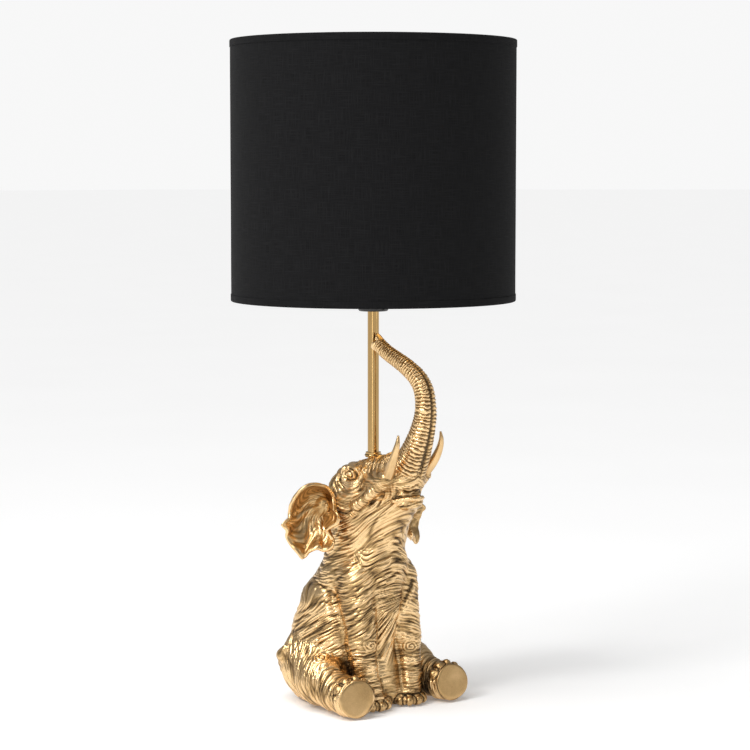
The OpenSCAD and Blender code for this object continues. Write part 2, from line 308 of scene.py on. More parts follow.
def chain(blends, *stations):
    """Limbs through stations of place and half-sizes, each with the blend that joins it on."""
    return [(Limb(*a, *b), blend) for blend, a, b in zip(blends, stations[:-1], stations[1:])]


def torso_limbs():
    back = chain(
        (1, 8, 8, 8, 6),
        (at(0, -38, 7), (48, 42, 14)),
        (at(0, -35, 42), (52, 42, 38)),
        (at(0, -35, 64), (51, 43, 34)),
        (at(0, -30, 88), (46.5, 39, 30)),
        (at(0, -17, 114), (37.5, 38, 18)),
        (at(0, -9, 148), (31, 33, 24)),
    )
    chest = ((at(0, 9, 128), (27, 21, 19)), (at(0, 7, 92), (19, 19, 18)), (at(0, 5, 54), (12, 15, 16)))
    return back + chain((7, 5), *chest)


def head_limbs():
    limbs = [
        (Limb(at(0, -9, 148), (31, 33, 24), at(0, -6, 184), (34.5, 35, 27)), 8),
        (Limb(at(0, -6, 185), (35, 35, 32), at(0, 34, 207), (20.5, 19.5, 17.5)), 8),
        (Limb(at(0, 2, 204), (21, 15, 14), at(0, 34, 213), (15, 14, 14)), 6),
        (Limb(at(0, 10, 164), (26, 28, 24), at(0, 46, 185), (13.5, 13.5, 6.5)), 8),
        (Limb(at(0, 34, 203), (20.5, 17, 12), at(0, 46, 206), (17.5, 14, 10)), 5),
        (Limb(at(0, 34, 196.5), (16, 14, 5.5), at(0, 50, 199.5), (13.5, 8.5, 4.5)), 1.5),
    ]
    for side in (1, -1):
        tusk_socket = Limb(at(side * 17, 22, 200), (12, 14, 12), at(side * 21, 43, 207), (7, 6.3, 6.5))
        brow = Limb(at(side * 23, -4, 208), (7, 7, 5), at(side * 24, 9, 210), (6, 6, 4))
        jaw = Limb(at(side * 31, 14, 181), (4.5, 5, 4.5), at(side * 22.5, 37, 201), (4.5, 5, 4.5))
        limbs += [(tusk_socket, 4), (brow, 5), (jaw, 4)]
    return limbs


def leg_limbs(side):
    """The limbs of one side's foreleg, and those of its hind leg."""
    sign = 1 if side == "right" else -1

    def leg(across, front, up):
        return at(sign * across, front, up)

    foot = FORELEG[side]
    sole = SOLE[side]
    ankle = foot + leg(1.5, -3.5, 15)
    knee = sole + leg(-4, -50, 8)
    shin = sole + leg(-2, -26, 1.5)
    heel = sole + leg(-0.5, -8, 0)
    fore = [
        (Limb(leg(24.5, 5, 109), (16, 18.5, 22), leg(25, 14, 62), (14, 13.5, 14)), 5),
        (Limb(leg(26, 13.5, 58), (13.6, 13.8, 13), foot + leg(4.5, -5.5, 22), (11.6, 12, 11)), 3),
        (Limb(foot + leg(4.5, -5.5, 22), (11.6, 12, 11), ankle, (11.6, 12, 11)), 3),
        (Limb(ankle, (11.8, 12.2, 11), foot, (14.2, 12.6, 9.5)), 3),
    ]
    thigh = (leg(37, -42, 34), (25, 31, 31))
    below = ((knee, (21, 23, 22)), (shin, (17.5, 15, 16.5)), (heel, (16.6, 12, 16)))
    hind = chain((6, 5, 3), thigh, *below)
    hind.append((Limb(heel, (17, 9, 16.2), sole + leg(0.3, 5, 0.4), (17.6, 6, 16.4)), 3))
    return fore, hind


TAIL_LINE = [
    (*at(0, -76, 42), 6.2),
    (*at(9, -79.5, 32), 5.2),
    (*at(22, -79, 25), 4.4),
    (*at(36, -74.5, 23), 3.9),
    (*at(47, -67.5, 27), 3.8),
    (*at(53, -61, 34), 4.6),
    (*at(57, -55.5, 42), 6.4),
    (*at(58.5, -52, 48), 3.4),
]


def toe_places(side):
    """Centres and outward directions of the toenails."""
    toes = []
    sign = 1 if side == "right" else -1
    sole = SOLE[side]
    facing = SOLE_FACING[side]
    across = unit(np.cross(facing, (0, 0, 1)))
    up = unit(np.cross(across, facing))
    for angle in (-72, -38, -6, 26, 58):
        turn = math.radians(angle)
        out = across * math.sin(turn) + up * math.cos(turn)
        place = sole - facing * 3.2 + out * 15.2
        toes.append((place, out))
    foot = FORELEG[side]
    for angle in (-74, -37, 0, 37, 74):
        turn = math.radians(angle + sign * 4)
        out = at(math.sin(turn), math.cos(turn), 0)
        place = foot + out * np.array([12.6, 11.4, 0]) + at(0, 0, 0.4)
        toes.append((place, out))
    return toes


def model_figure(step):
    """The elephant's body, legs and head as one block of clay."""
    clay = Clay(np.minimum(FIGURE_LOW, FIGURE_HIGH), np.maximum(FIGURE_LOW, FIGURE_HIGH), step)
    for limb, blend in torso_limbs():
        clay.add(limb, blend)
    forelegs = []
    for side, facing in SOLE_FACING.items():
        fore, hind = leg_limbs(side)
        forelegs += fore
        for limb, blend in hind:
            clay.add(limb, blend)
        sole = SOLE[side]
        clay.slice_off(sole - (26, 16, 24), sole + (26, 16, 26), sole + facing * SOLE_DEPTH, facing, 2.0)
    for limb, blend in forelegs + head_limbs():
        clay.add(limb, blend)
    # The tongue, the lower lip and the hollows round the eyes.
    clay.add(Limb(at(0, 30, 190), (15, 12, 6), at(0, 47, 193), (13, 9, 5)), 2)
    clay.add(Limb(at(0, 46, 188), (16.5, 8, 2.6), at(0, 54, 190), (10.5, 8.5, 2.4)), 1.5)
    for side in (1, -1):
        clay.carve(Limb(at(side * 35, -4, 196), (5, 9, 7)), 5)
        clay.carve(Limb(at(side * 37, -16, 184), (6, 6, 14)), 5)
        clay.carve(Limb(at(side * 30, 16, 208), (4, 5, 7)), 5)
        # The valley along the inner edge of each foreleg.
        clay.carve(Limb(at(side * 13, 29.5, 88), (1.6, 5, 5), at(side * 11, 28, 24), (2.6, 9, 8)), 4)
        # The valley between the flank and the foreleg.
        clay.carve(Limb(at(side * 40, -10, 100), (3, 3, 5), at(side * 39.5, 2, 74), (4, 4, 6)), 5)
        clay.carve(Limb(at(side * 39.5, 2, 74), (4, 4, 6), at(side * 38, 9, 52), (4, 4, 6)), 5)
        # The hole between the flank, the foreleg and the thigh.
        clay.carve(Limb(at(side * 40, 10, 46), (5, 6, 5), at(side * 36, 6, 30), (5, 7, 7)), 4)
    # The belly panel behind the forelegs.
    clay.add(Limb(at(0, 2, 62), (15, 16, 24), at(0, 1, 12), (27, 26, 16)), 4)
    # The lower end of the trunk is inside the separately moulded trunk.
    stump = [(*place[:3], place[3] - slimmer) for place, slimmer in zip(TRUNK_LINE, (0.4, 1.8, 4.0))]
    for limb in limbs_along(stump):
        clay.add(limb, 4)
    for limb in limbs_along(TAIL_LINE):
        clay.add(limb, 2.0)
    for side in ("right", "left"):
        for place, out in toe_places(side):
            clay.add(Limb(place, [NAIL_SIZE] * 3, place + out * 0.8, [NAIL_SIZE * 0.8] * 3), 1.0)
    # Flat underside, and the seat for the collar on the head.
    clay.slice_off((-130, -130, -6), (130, 130, 12), (0, 0, PAD_THICKNESS), (0, 0, -1), 0.8)
    clay.slice_off((-9, -9, 214), (9, 9, 232), (0, 0, COLLAR_SEAT), (0, 0, 1), 0.8)
    return clay


# ---------------------------------------------------------------- wrinkled skin


def strands(flow, pitch, seed):
    """Long folds across the first flow direction, bending and merging like a fingerprint."""
    wide = flow / np.array([22.0, 40.0, 40.0])
    bend = 1.5 * grain(wide, seed) + 0.30 * grain(flow / np.array([8.0, 15.0, 15.0]), seed + 1)
    first = np.abs(np.sin(math.pi * (flow[:, 0] / pitch + bend)))
    second = np.abs(np.sin(math.pi * (flow[:, 0] / (pitch * 1.45) - bend + 0.3)))
    mask = smooth_step(grain(flow / 17.0, seed + 2), -0.12, 0.12)
    return (first + (second - first) * mask) ** 0.6 - 0.66


def creases(flow, pitch, length, seed):
    """Rounded folds with narrow creases between them, here and there."""
    wander = grain(flow / (length * 1.3), seed + 11) * pitch
    shifted = flow + wander[:, None] * np.array([1.0, 0.0, 0.0])
    stretched = shifted / np.array([pitch, length, length])
    return np.minimum(np.abs(grain(stretched, seed)) * 2.8, 1.0) ** 0.8 - 0.72


def folds(flow, pitch, depth, seed):
    """Large folds with fine ones riding on them, stronger in some places than in others."""
    patchy = 0.9 + 0.45 * grain(flow / 13.0, seed + 23)
    large = strands(flow, pitch * 1.5, seed) * depth * 0.95
    fine = strands(flow, pitch * 0.8, seed + 5) * depth * 0.8
    return (large + fine) * patchy + creases(flow, pitch * 2.6, 34.0, seed + 9) * depth * 0.9


def rings_round(points, centre, pitch, reach):
    """A whorl round a point on the skin, and how strongly it rules there."""
    off = (points - centre) / np.array([1.25, 1.0, 0.8])
    far = np.linalg.norm(off, axis=1)
    turn = np.arctan2(off[:, 2], off[:, 0]) / (2 * math.pi)
    wobble = grain(points / 5.0, 71) * 0.4
    rings = np.abs(np.sin(math.pi * (far / pitch + turn + wobble))) ** 0.6 - 0.66
    return rings, bell(far, 0.0, reach)


def path(sign, *places):
    """A line through places given as side, front and up, on the right (1) or the left (-1)."""
    return [at(sign * side, front, up) for side, front, up in places]


def groove(points, line, width, shift=0.0):
    """How deep each point lies in a groove along a line, or along the line shifted."""
    points = points - shift
    best = np.full(len(points), 1e9)
    for start, end in zip(line[:-1], line[1:]):
        span = end - start
        t = np.clip(((points - start) @ span) / (span @ span), 0.0, 1.0)
        best = np.minimum(best, np.linalg.norm(points - start - t[:, None] * span, axis=1))
    return bell(best, 0.0, width)


def group_distance(points, limbs):
    x, y, z = points[:, 0], points[:, 1], points[:, 2]
    return np.min([limb.distance(x, y, z) for limb in limbs], axis=0)


def along(points, axis):
    """Flow coordinates with the first one along an axis."""
    axis = unit(axis)
    other = unit(np.cross(axis, (0.31, 0.2, 0.93) if abs(axis[2]) < 0.8 else (1.0, 0.1, 0.0)))
    third = np.cross(axis, other)
    return np.stack([points @ axis, points @ other, points @ third], axis=1)


def skin_regions(side, front, up):
    """Where each kind of skin is, how its folds flow, and how wide and deep they are."""
    points = np.stack([-side, -front, up], axis=1)
    torso = [limb for limb, _ in torso_limbs()]
    head = [limb for limb, _ in head_limbs()]
    wide = np.abs(side)
    low = smooth_step(112 - up, 0, 28)
    before = smooth_step(front, 2, 22)
    sag = 0.35 * np.sqrt(side * side + 120) + 0.012 * side * side
    drape = up - 0.62 * front * low * (1 - before) + sag * before
    high = smooth_step(up, 84, 112)
    fan = (0.83 * side + 0.56 * up) * (1 - high) + drape * high
    throat = up - (0.28 + 0.35 * smooth_step(front, 0, 25)) * front + 0.006 * side * side
    eye_side = np.where(side[:, None] > 0, EYE, mirrored(EYE))
    eye_gap = np.linalg.norm((points - eye_side) / np.array([1.0, 1.1, 1.0]), axis=1)
    cheeks = [Limb(at(sign * 24, 12, 193), (9, 14, 10)) for sign in (1, -1)]
    above = 0.75 * smooth_step(up, EYE[2] - 4, EYE[2] + 8)
    socket = eye_gap * (1 - above) + (0.3 * eye_gap + front) * above
    regions = [
        (torso[:4], np.stack([drape, side, front], axis=1), 2.9, 1.15, 1),
        (torso[5:], np.stack([fan, side, front], axis=1), 2.8, 1.1, 8),
        ([torso[4], head[0], head[3]], np.stack([throat, side, front], axis=1), 2.9, 0.9, 2),
        ([head[1]] + head[7::3] + cheeks, np.stack([socket, side, up], axis=1), 2.7, 1.7, 3),
        ([head[2]], np.stack([front + 0.25 * up, side, up], axis=1), 2.5, 2.0, 4),
        ([head[4]] + head[6::3], np.stack([up + 0.5 * wide, side, front], axis=1), 2.4, 0.6, 5),
        ([head[5]], np.stack([up, front * 2.5, side * 2.5], axis=1), 2.0, 1.0, 6),
        (head[8::3], np.stack([front + 0.8 * up, side, up], axis=1), 2.3, 0.8, 7),
    ]
    for seed, name in enumerate(("right", "left")):
        fore, hind = leg_limbs(name)
        fore = [limb for limb, _ in fore]
        hind = [limb for limb, _ in hind]
        sign = 1 if name == "right" else -1
        regions += [
            (fore[:1], along(points, at(sign * 0.45, -0.3, 1)), 2.8, 0.95, 20 + seed),
            (fore[1:], along(points, at(0, -0.15, 1.0)), 2.6, 1.0, 30 + seed),
            (hind[:1], along(points, at(sign * 0.2, 1, 0.45)), 2.8, 1.05, 40 + seed),
            (hind[1:], along(points, at(sign * 0.15, 1, 0.15)), 2.6, 1.0, 50 + seed),
        ]
    regions.append((limbs_along(TAIL_LINE), along(points, at(1, 0.4, 0.2)), 2.2, 0.5, 60))
    return regions


def skin_relief(points):
    """Height of the skin's folds over the smooth clay, in millimetres."""
    side, front, up = -points[:, 0], -points[:, 1], points[:, 2]
    wide = np.abs(side)
    regions = skin_regions(side, front, up)
    gaps = [group_distance(points, limbs) for limbs, *_ in regions]
    nearest = np.min(gaps, axis=0)
    total = np.zeros(len(points))
    share = np.zeros(len(points))
    for gap, (_, flow, pitch, depth, seed) in zip(gaps, regions):
        weight = bell(gap, nearest, 1.8)
        here = weight > 0.01
        total[here] += weight[here] * folds(flow[here], pitch, depth, seed)
        share[here] += weight[here]
    height = total / share

    # Smooth places: soles, toenails, the panel between the forelegs, the underside.
    calm = np.zeros(len(points))
    rims = np.zeros(len(points))
    for name in ("right", "left"):
        beyond = (points - SOLE[name]) @ SOLE_FACING[name]
        near = np.linalg.norm(points - SOLE[name], axis=1) < 27
        calm = np.maximum(calm, np.where(near, smooth_step(beyond, 3.6, 5.2), 0.0))
        for place, _ in toe_places(name):
            gap = np.linalg.norm(points - place, axis=1) - NAIL_SIZE
            calm = np.maximum(calm, 0.95 * smooth_step(-gap, -1.2, 0.4))
            rims -= 0.9 * bell(gap, 1.3, 0.6)
    panel = smooth_step(10.5 + 0.05 * (95 - up) - wide, -2, 3) * smooth_step(60 - up, 0, 25)
    calm = np.maximum(calm, 0.6 * panel * smooth_step(front, 0, 12))
    calm = np.maximum(calm, smooth_step(4.0 - up, 0, 3))
    height = height * (1 - calm) + rims

    # Knees and the eye have rings of their own.
    for name, thigh in (("right", THIGH), ("left", mirrored(THIGH))):
        for centre, pitch, reach in ((KNEE[name], 3.1, 6.5), (thigh, 3.2, 7.0)):
            rings, rule = rings_round(points, centre, pitch, reach)
            height = height * (1 - 0.85 * rule) + 1.5 * rings * rule
    eye = np.where(side[:, None] > 0, EYE, mirrored(EYE))
    far = np.linalg.norm((points - eye) / np.array([1.2, 1.45, 0.86]), axis=1)
    above = smooth_step(up - EYE[2], -1.0, 3.0)
    far = far + 0.9 * grain(points / 3.6, 77)
    ball = np.sqrt(np.maximum(1 - (far / 2.7) ** 2, 0)) * 1.5
    lid = 1.2 * bell(far, 4.3, 1.0) - 1.5 * bell(far, 2.9, 0.6)
    pouch = (0.8 + 1.2 * above) * bell(far, 7.9, 1.2) - 0.9 * bell(far, 6.0, 0.8)
    height = height * (1 - smooth_step(10.0 - far, 0, 3.5))
    height += smooth_step(10.5 - far, 0, 3) * (ball + lid + pouch)

    # Deep folds where two masses meet, each with a raised edge beside it.
    for sign in (1, -1):
        flank = path(sign, (38, -14, 104), (39, -6, 92), (38, 2, 74), (36, 8, 54))
        height -= 0.5 * groove(points, flank, 2.2)
        height += 0.9 * groove(points, flank, 2.0, at(0, 3.4, 1.5))
        jowl = path(sign, (20, 39, 203), (24, 28, 193), (29, 17, 182), (31, 8, 172))
        bumps = 0.6 + 0.9 * np.sin(1.9 * (up + front))
        height += 1.3 * groove(points, jowl, 1.7) * bumps
        height -= 0.9 * groove(points, jowl, 1.3, at(0, 2.5, -2.6))
        height -= 0.8 * groove(points, jowl, 1.3, at(0, -2.6, 2.6))
        chin = path(sign, (22, 30, 175), (18, 42, 179), (8, 56, 184), (0, 58, 185))
        height -= 1.2 * groove(points, chin, 1.2)
        mouth = path(sign, (19, 26, 192), (18, 37, 189), (13, 49, 190.5), (5, 58, 192.5), (0, 60, 193))
        height -= 0.9 * groove(points, mouth, 1.1)
        height += 1.5 * groove(points, mouth, 1.5, at(0, 0.5, -2.7))
        corner = path(sign, (21, 27, 189), (22.5, 24, 184), (23, 20, 180))
        height -= 1.3 * groove(points, corner, 1.0)
    # One long crease runs down across the chest, from the left shoulder to the right knee.
    chest = path(1, (-26, 24, 110), (-14.5, 24, 89), (-3, 23, 69), (8, 19.5, 48))
    height -= 1.0 * groove(points, chest, 1.8)
    height += 0.9 * groove(points, chest, 1.8, at(-2.6, 0.8, -2.6))
    return height


def hollows(clay, points, normals):
    """How sheltered each point is, from 0 in the open to 1 in a deep corner; the gold paint darkens with
    it as painted shade.
    """
    corner_shade = np.zeros(len(points))
    top = np.array(clay.field.shape) - 1
    for reach in (3.0, 6.0, 11.0):
        spot = (points + normals * reach - clay.low) / clay.step
        cell = np.clip(np.round(spot).astype(int), 0, top)
        open_way = clay.field[cell[:, 0], cell[:, 1], cell[:, 2]]
        corner_shade += np.clip(1.0 - open_way / reach, 0.0, 1.0) / 3.0
    return corner_shade


def point_normals(piece):
    normals = np.empty(len(piece.data.vertices) * 3)
    piece.data.vertices.foreach_get("normal", normals)
    return normals.reshape(-1, 3)


# ---------------------------------------------------------------- swept and folded pieces


def tube_faces(total, count):
    """The faces of a tube of rings that follow each other, and the two that close its ends."""
    faces = []
    for low in range(0, total - count, count):
        for k in range(count):
            after = (k + 1) % count
            faces.append((low + k, low + count + k, low + count + after, low + after))
    faces.append(tuple(range(count)))
    faces.append(tuple(range(total - 1, total - count - 1, -1)))
    return faces


def swept(centres, headings, side, radius_of, count):
    """Rings of points round a line: radius_of(row, angles) is their size, and angle 0 faces front."""
    angles = np.linspace(0.0, 2.0 * math.pi, count, endpoint=False)
    points = []
    for row, (centre, heading) in enumerate(zip(centres, headings)):
        across = unit(side - heading * (side @ heading))
        outward = np.cross(heading, across)
        way = np.cos(angles)[:, None] * outward + np.sin(angles)[:, None] * across
        points.append(centre + radius_of(row, angles)[:, None] * way)
    return np.concatenate(points), angles


def outward_faces(piece):
    """Turns every face of a closed mesh outwards."""
    shell = bmesh.new()
    shell.from_mesh(piece.data)
    bmesh.ops.recalc_face_normals(shell, faces=shell.faces)
    shell.to_mesh(piece.data)
    shell.free()
    piece.data.polygons.foreach_set("use_smooth", [True] * len(piece.data.polygons))
    piece.data.update()


def divided(points, faces):
    """Four-sided faces cut into four each, for finer folds than the clay's grid."""
    count = len(points)
    nexts = np.roll(faces, -1, axis=1)
    keys = (np.minimum(faces, nexts).astype(np.int64) * count + np.maximum(faces, nexts)).ravel()
    edges, number = np.unique(keys, return_inverse=True)
    sides = number.reshape(-1, 4) + count
    middles = (points[edges // count] + points[edges % count]) / 2
    hubs = np.arange(len(faces)) + count + len(edges)
    points = np.concatenate([points, middles, points[faces].mean(axis=1)])
    quarters = [np.stack([faces[:, k], sides[:, k], hubs, sides[:, k - 1]], axis=1) for k in range(4)]
    return points, np.concatenate(quarters)


def build_body(step):
    clay = model_figure(step)
    points, faces = divided(*clay.skin())
    first, second, third = (points[faces[:, k]] for k in range(3))
    if np.einsum("ij,ij->", np.cross(second - first, third - first), first) < 0:
        faces = faces[:, ::-1]
    piece = mesh_object("elephant_body", points, faces)
    normals = point_normals(piece)
    height = skin_relief(points)
    moved = points + normals * height[:, None]
    moved[:, 2] = np.maximum(moved[:, 2], PAD_THICKNESS)
    piece.data.vertices.foreach_set("co", (moved * MM).ravel())
    piece.data.update()
    # The folds' height also colours the paint: a painted highlight on the ridges, a brown wash with
    # painted shade in the creases.
    add_value(piece, "fold_height", height)
    # Painted shade: the gold paint darkens where the clay shelters a point, in corners and between
    # parts.
    add_value(piece, "corner_shade", hollows(clay, points, normals))
    return piece


def build_trunk(rows, count):
    line, heading, run = curve_through(TRUNK_LINE, rows)
    centres, radii = line[:, :3], line[:, 3]
    length = run[-1]
    pitch = 2.3 + 1.1 * (1 - run / length)
    phase = np.cumsum(np.gradient(run) / pitch)
    heights = []

    def size(row, angles):
        turn = (angles + math.pi) % (2 * math.pi) - math.pi  # 0 along the groove in front
        here = centres[row] + np.stack([np.sin(turn), np.cos(turn), 0 * turn], axis=1) * radii[row]
        around = np.stack([np.full_like(turn, run[row] / 7.0), turn * 0.9, 0 * turn], axis=1)
        wander = 0.55 * grain(around, 5)
        wander += 0.22 * grain(here / 2.4, 6)
        flip = 0.5 * (turn > 0)  # the ridges of the two rows stand between each other
        wave = np.abs(np.sin(math.pi * (phase[row] + wander + flip)))
        ridge = wave**0.65 - 0.62
        beside = bell(np.abs(turn), 0.75, 0.75)
        depth = (0.55 + 0.85 * beside) * (0.45 + 0.065 * radii[row])
        dip = bell(turn, 0.0, 0.17)
        height = ridge * depth * (1 - 0.6 * dip) - 0.75 * dip * (radii[row] / 8.0)
        height += 0.21 * grain(here / 1.6, 8)
        tip = smooth_step(run[row], length - 4.5, length - 1.5)
        height = height * (1 - 0.75 * tip) + 0.55 * tip
        heights.append(height)
        return radii[row] + 0.5 * beside + height

    points, angles = swept(centres, heading, at(1, 0, 0), size, count)
    # The cut end: a rim with a finger above, closed by the hollow of the nostrils.
    turn = (angles + math.pi) % (2 * math.pi) - math.pi
    toward = heading[-1]
    finger = bell(turn, 0.0, 0.55)
    reach_up = toward * 3.4 + np.array([0.0, 0.0, 1.4])
    for back in range(9):
        share = (1 - back / 9.0) ** 1.5
        block = slice(len(points) - (back + 1) * count, len(points) - back * count)
        points[block] += finger[:, None] * reach_up * share
    rings = [points]
    middle = centres[-1] + toward * 0.2
    spread = points[-count:] - middle
    beside_bridge = 1 - 0.75 * bell(np.sin(turn), 0.0, 0.28)
    # Inside the nostrils the paint takes the folds' colour, a wash with painted shade.
    for share, sink in ((0.86, -0.35), (0.72, 0.5), (0.5, 2.2), (0.3, 3.0), (0.12, 2.6)):
        rings.append(middle + spread * share - toward * sink * (0.35 + 0.65 * beside_bridge)[:, None])
        heights.append(np.full(count, -0.9 if share < 0.8 else 0.0))
    points = np.concatenate(rings)
    piece = mesh_object("trunk", points, tube_faces(len(points), count))
    outward_faces(piece)
    add_value(piece, "fold_height", np.concatenate(heights))
    # The trunk is given a small, even value for the painted corner shade.
    add_value(piece, "corner_shade", np.full(len(points), 0.08))
    return piece


# The ear's edge from the top of its root, round its tip and back to its foot:
# outward from the root, upward, and forward of the ear's middle plane.
EAR_EDGE = [
    (4, 8.2, -1), (7.3, 13.7, 2), (12.5, 17.8, 4.5), (19, 19.8, 6), (25.6, 20, 6.5),
    (32.2, 17.5, 6.5), (38.3, 11, 5), (42.4, 2.7, 2.5), (42.9, -4.5, -1), (43.9, -9.5, 0),
    (50.1, -14.6, 2.5), (45.7, -20, 1), (45.4, -26.5, -2), (41.6, -33.7, 0), (36.9, -39.7, 3),
    (32.2, -44.7, 4), (26.1, -39.2, 4), (20, -36.5, 7), (14.3, -38.1, 8), (9.2, -36, 11),
    (6.8, -31, 13), (9.2, -26, 10), (12, -21, 8), (8.2, -16.9, 12), (4, -13.7, 14),
    (2.5, -8.2, 12), (4.5, -2.7, 8), (4, 2.7, 3),
]
EAR_HUB = np.array([9.0, 1.0, -3.5])


def build_ear(name, sign, sweep, around, rows):
    edge, _, _ = curve_through(EAR_EDGE + EAR_EDGE[:1], around + 1)
    edge = edge[:-1]
    inward = np.linspace(0.05, 1.0, rows)
    share = np.arange(around) / around
    local = []
    relief = []
    for t in inward:
        flat = EAR_HUB + (edge - EAR_HUB) * t
        bend = 0.42 * math.sin(math.pi * t) * np.sin(2 * math.pi * share + 0.6)
        swirl = share + 0.045 * math.sin(2.2 * math.pi * t)
        lower = smooth_step(share, 0.22, 0.4) * (1 - smooth_step(share, 0.92, 1.0))
        deep = 1.25 * t**1.1 * (1 - 0.3 * t) * np.sin(2 * math.pi * swirl * 11.0 + 1.1)
        deep *= 0.42 + 0.58 * lower
        deep += 0.25 * t * np.sin(2 * math.pi * swirl * 23.0 + 0.4 + 2 * bend)
        cup = -7.5 * math.sin(math.pi * min(t * 1.02, 1.0)) ** 1.1
        curl = 1.9 * smooth_step(t, 0.84, 1.0)
        fine = np.abs(np.sin(math.pi * (swirl * 26 + 0.7 * np.sin(7 * t)))) ** 0.5 - 0.7
        fine = fine * 0.34 * smooth_step(t, 0.12, 0.4) * (1 - 0.7 * smooth_step(t, 0.84, 0.97))
        held = smooth_step(t, 0.02, 0.3) * (1 - 0.45 * smooth_step(t, 0.9, 1.0))
        flat[:, 2] += (deep + cup) * held + curl
        local.append(flat)
        relief.append(fine)
    local = np.array(local)
    relief = np.array(relief)
    du = np.gradient(local, axis=0)
    dv = np.roll(local, -1, axis=1) - np.roll(local, 1, axis=1)
    normal = np.cross(dv, du)
    normal /= np.maximum(np.linalg.norm(normal, axis=2), 1e-6)[:, :, None]
    if normal[rows // 2, :, 2].mean() < 0:
        normal = -normal
    normal[0] = (0, 0, 1)
    thick = 1.15 + 0.2 * smooth_step(inward, 0.86, 0.97) + 1.2 * (1 - smooth_step(inward, 0.05, 0.3))
    thick = thick[:, None, None]
    front = local + normal * (thick + relief[:, :, None])
    back = local - normal * (thick + 0.35 * relief[:, :, None])
    outward = edge - EAR_HUB
    outward[:, 2] = 0
    outward /= np.linalg.norm(outward, axis=1)[:, None]
    rounds = []
    for angle in (60, 30, 0, -30, -60):
        turn = math.radians(angle)
        way = outward * math.cos(turn) + normal[-1] * math.sin(turn)
        rounds.append(local[-1] + way * (thick[-1] + 0.1))
    points = np.concatenate([*front, *rounds, *back[::-1]])
    # The rim takes the ridges' colour with its painted highlight; the folds on the front are coloured
    # twice as strongly.
    heights = [*(relief * 2.0), *[np.full(around, 0.5)] * len(rounds), *relief[::-1]]
    turn = math.radians(sweep)
    out_way = at(math.cos(turn), -math.sin(turn), 0)
    front_way = at(math.sin(turn), math.cos(turn), 0)
    placed = EAR_ROOT + points @ np.array([out_way, at(0, 0, 1), front_way])
    lumps = grain(placed / 6.0, 91)[:, None] * 0.35
    placed = placed + lumps * front_way
    if sign < 0:
        placed = mirrored(placed)
    piece = mesh_object(name, placed, tube_faces(len(placed), around))
    outward_faces(piece)
    add_value(piece, "fold_height", np.concatenate(heights))
    # Painted shade in the cup of the ear, darker where the cup sinks deeper, away from its tip.
    dip = np.clip(0.45 - 0.05 * points[:, 2], 0, 0.6) * (points[:, 0] < 40)
    add_value(piece, "corner_shade", dip * 0.6)
    return piece


TUSK_LINE = [
    (*at(19, 37, 202), 5.4),
    (*at(21.5, 46, 211), 4.9),
    (*at(24, 53.5, 220.5), 4.1),
    (*at(25.2, 59, 230.5), 3.2),
    (*at(25, 61.8, 239), 2.2),
    (*at(24, 62, 246.5), 0.8),
]


def build_tusk(name, sign, rows, count):
    line, heading, run = curve_through(TUSK_LINE, rows)
    centres, radii = line[:, :3], line[:, 3]

    def size(row, angles):
        place = np.stack([angles * 1.5, np.full_like(angles, run[row] / 9.0), 0 * angles], axis=1)
        flats = 0.10 * np.cos(5 * angles + 0.4) + 0.05 * grain(place, 14)
        return radii[row] * (1 + 0.4 * flats)

    points, _ = swept(centres, heading, at(1, 0, 0), size, count)
    if sign < 0:
        points = mirrored(points)
    piece = mesh_object(name, points, tube_faces(len(points), count))
    outward_faces(piece)
    add_value(piece, "fold_height", np.full(len(points), 0.15))
    # Painted shade at the root of the tusk, where it meets its socket.
    base = np.repeat(smooth_step(9.0 - run, 0, 6.0), count) * 0.7
    add_value(piece, "corner_shade", base)
    return piece


def arc_points(centre, radius, start, end, count):
    turns = np.radians(np.linspace(start, end, count))
    return [(centre[0] + radius * math.cos(a), centre[1] + radius * math.sin(a)) for a in turns]


# ---------------------------------------------------------------- shade cloth


def build_shade_cloth(looks):
    """The cloth wrapped round the liner with a glued seam at the back, and the bands over both rims."""
    low, high = (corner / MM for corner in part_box("shade_cloth"))
    outer = (high.x - low.x) / 2
    thick = looks.cloth_thickness / MM
    lap = looks.overlap / MM
    around, rows = 960, 72
    length = 2 * math.pi * outer + lap
    run = np.linspace(0.0, length, around)
    seam = math.pi / 2  # the seam is at the back
    angles = seam + (run - lap / 2) / outer
    over = smooth_step(run, length - lap - 5.0, length - lap)
    heights = np.linspace(low.z, high.z, rows)
    points = []
    for z in heights:
        place = np.stack([run / 38.0, np.full(around, z / 60.0), np.zeros(around)], axis=1)
        pull = 0.12 * grain(place, 201)
        pull *= smooth_step(z - low.z, 0, 14) * smooth_step(high.z - z, 0, 14) * (1 - over)
        radius = outer - thick * 1.4 + pull * 0.5 + over * thick * 1.05
        ring = [radius * np.cos(angles), radius * np.sin(angles), np.full(around, z)]
        points.append(np.stack(ring, axis=1))
    points = np.concatenate(points)
    faces = []
    for row in range(rows - 1):
        for k in range(around - 1):
            first = row * around + k
            faces.append((first, first + 1, first + around + 1, first + around))
    cloth = mesh_object("shade_cloth_wrap", points, faces)
    lay = np.stack([np.tile(run, rows), np.repeat(heights, around), np.zeros(len(points))], axis=1) * MM
    add_lay(cloth, lay)
    body = cloth.modifiers.new("thickness", "SOLIDIFY")
    body.thickness = looks.cloth_thickness
    body.offset = -1.0
    bands = [build_band(node, looks) for node in ("bottom_trim", "top_trim")]
    return cloth, bands


def add_lay(piece, lay):
    """Stores where each point lies in the flat cloth, in metres along the weft and the warp."""
    layer = piece.data.attributes.new("cloth_lay", "FLOAT_VECTOR", "POINT")
    layer.data.foreach_set("vector", np.asarray(lay, np.float32).ravel())


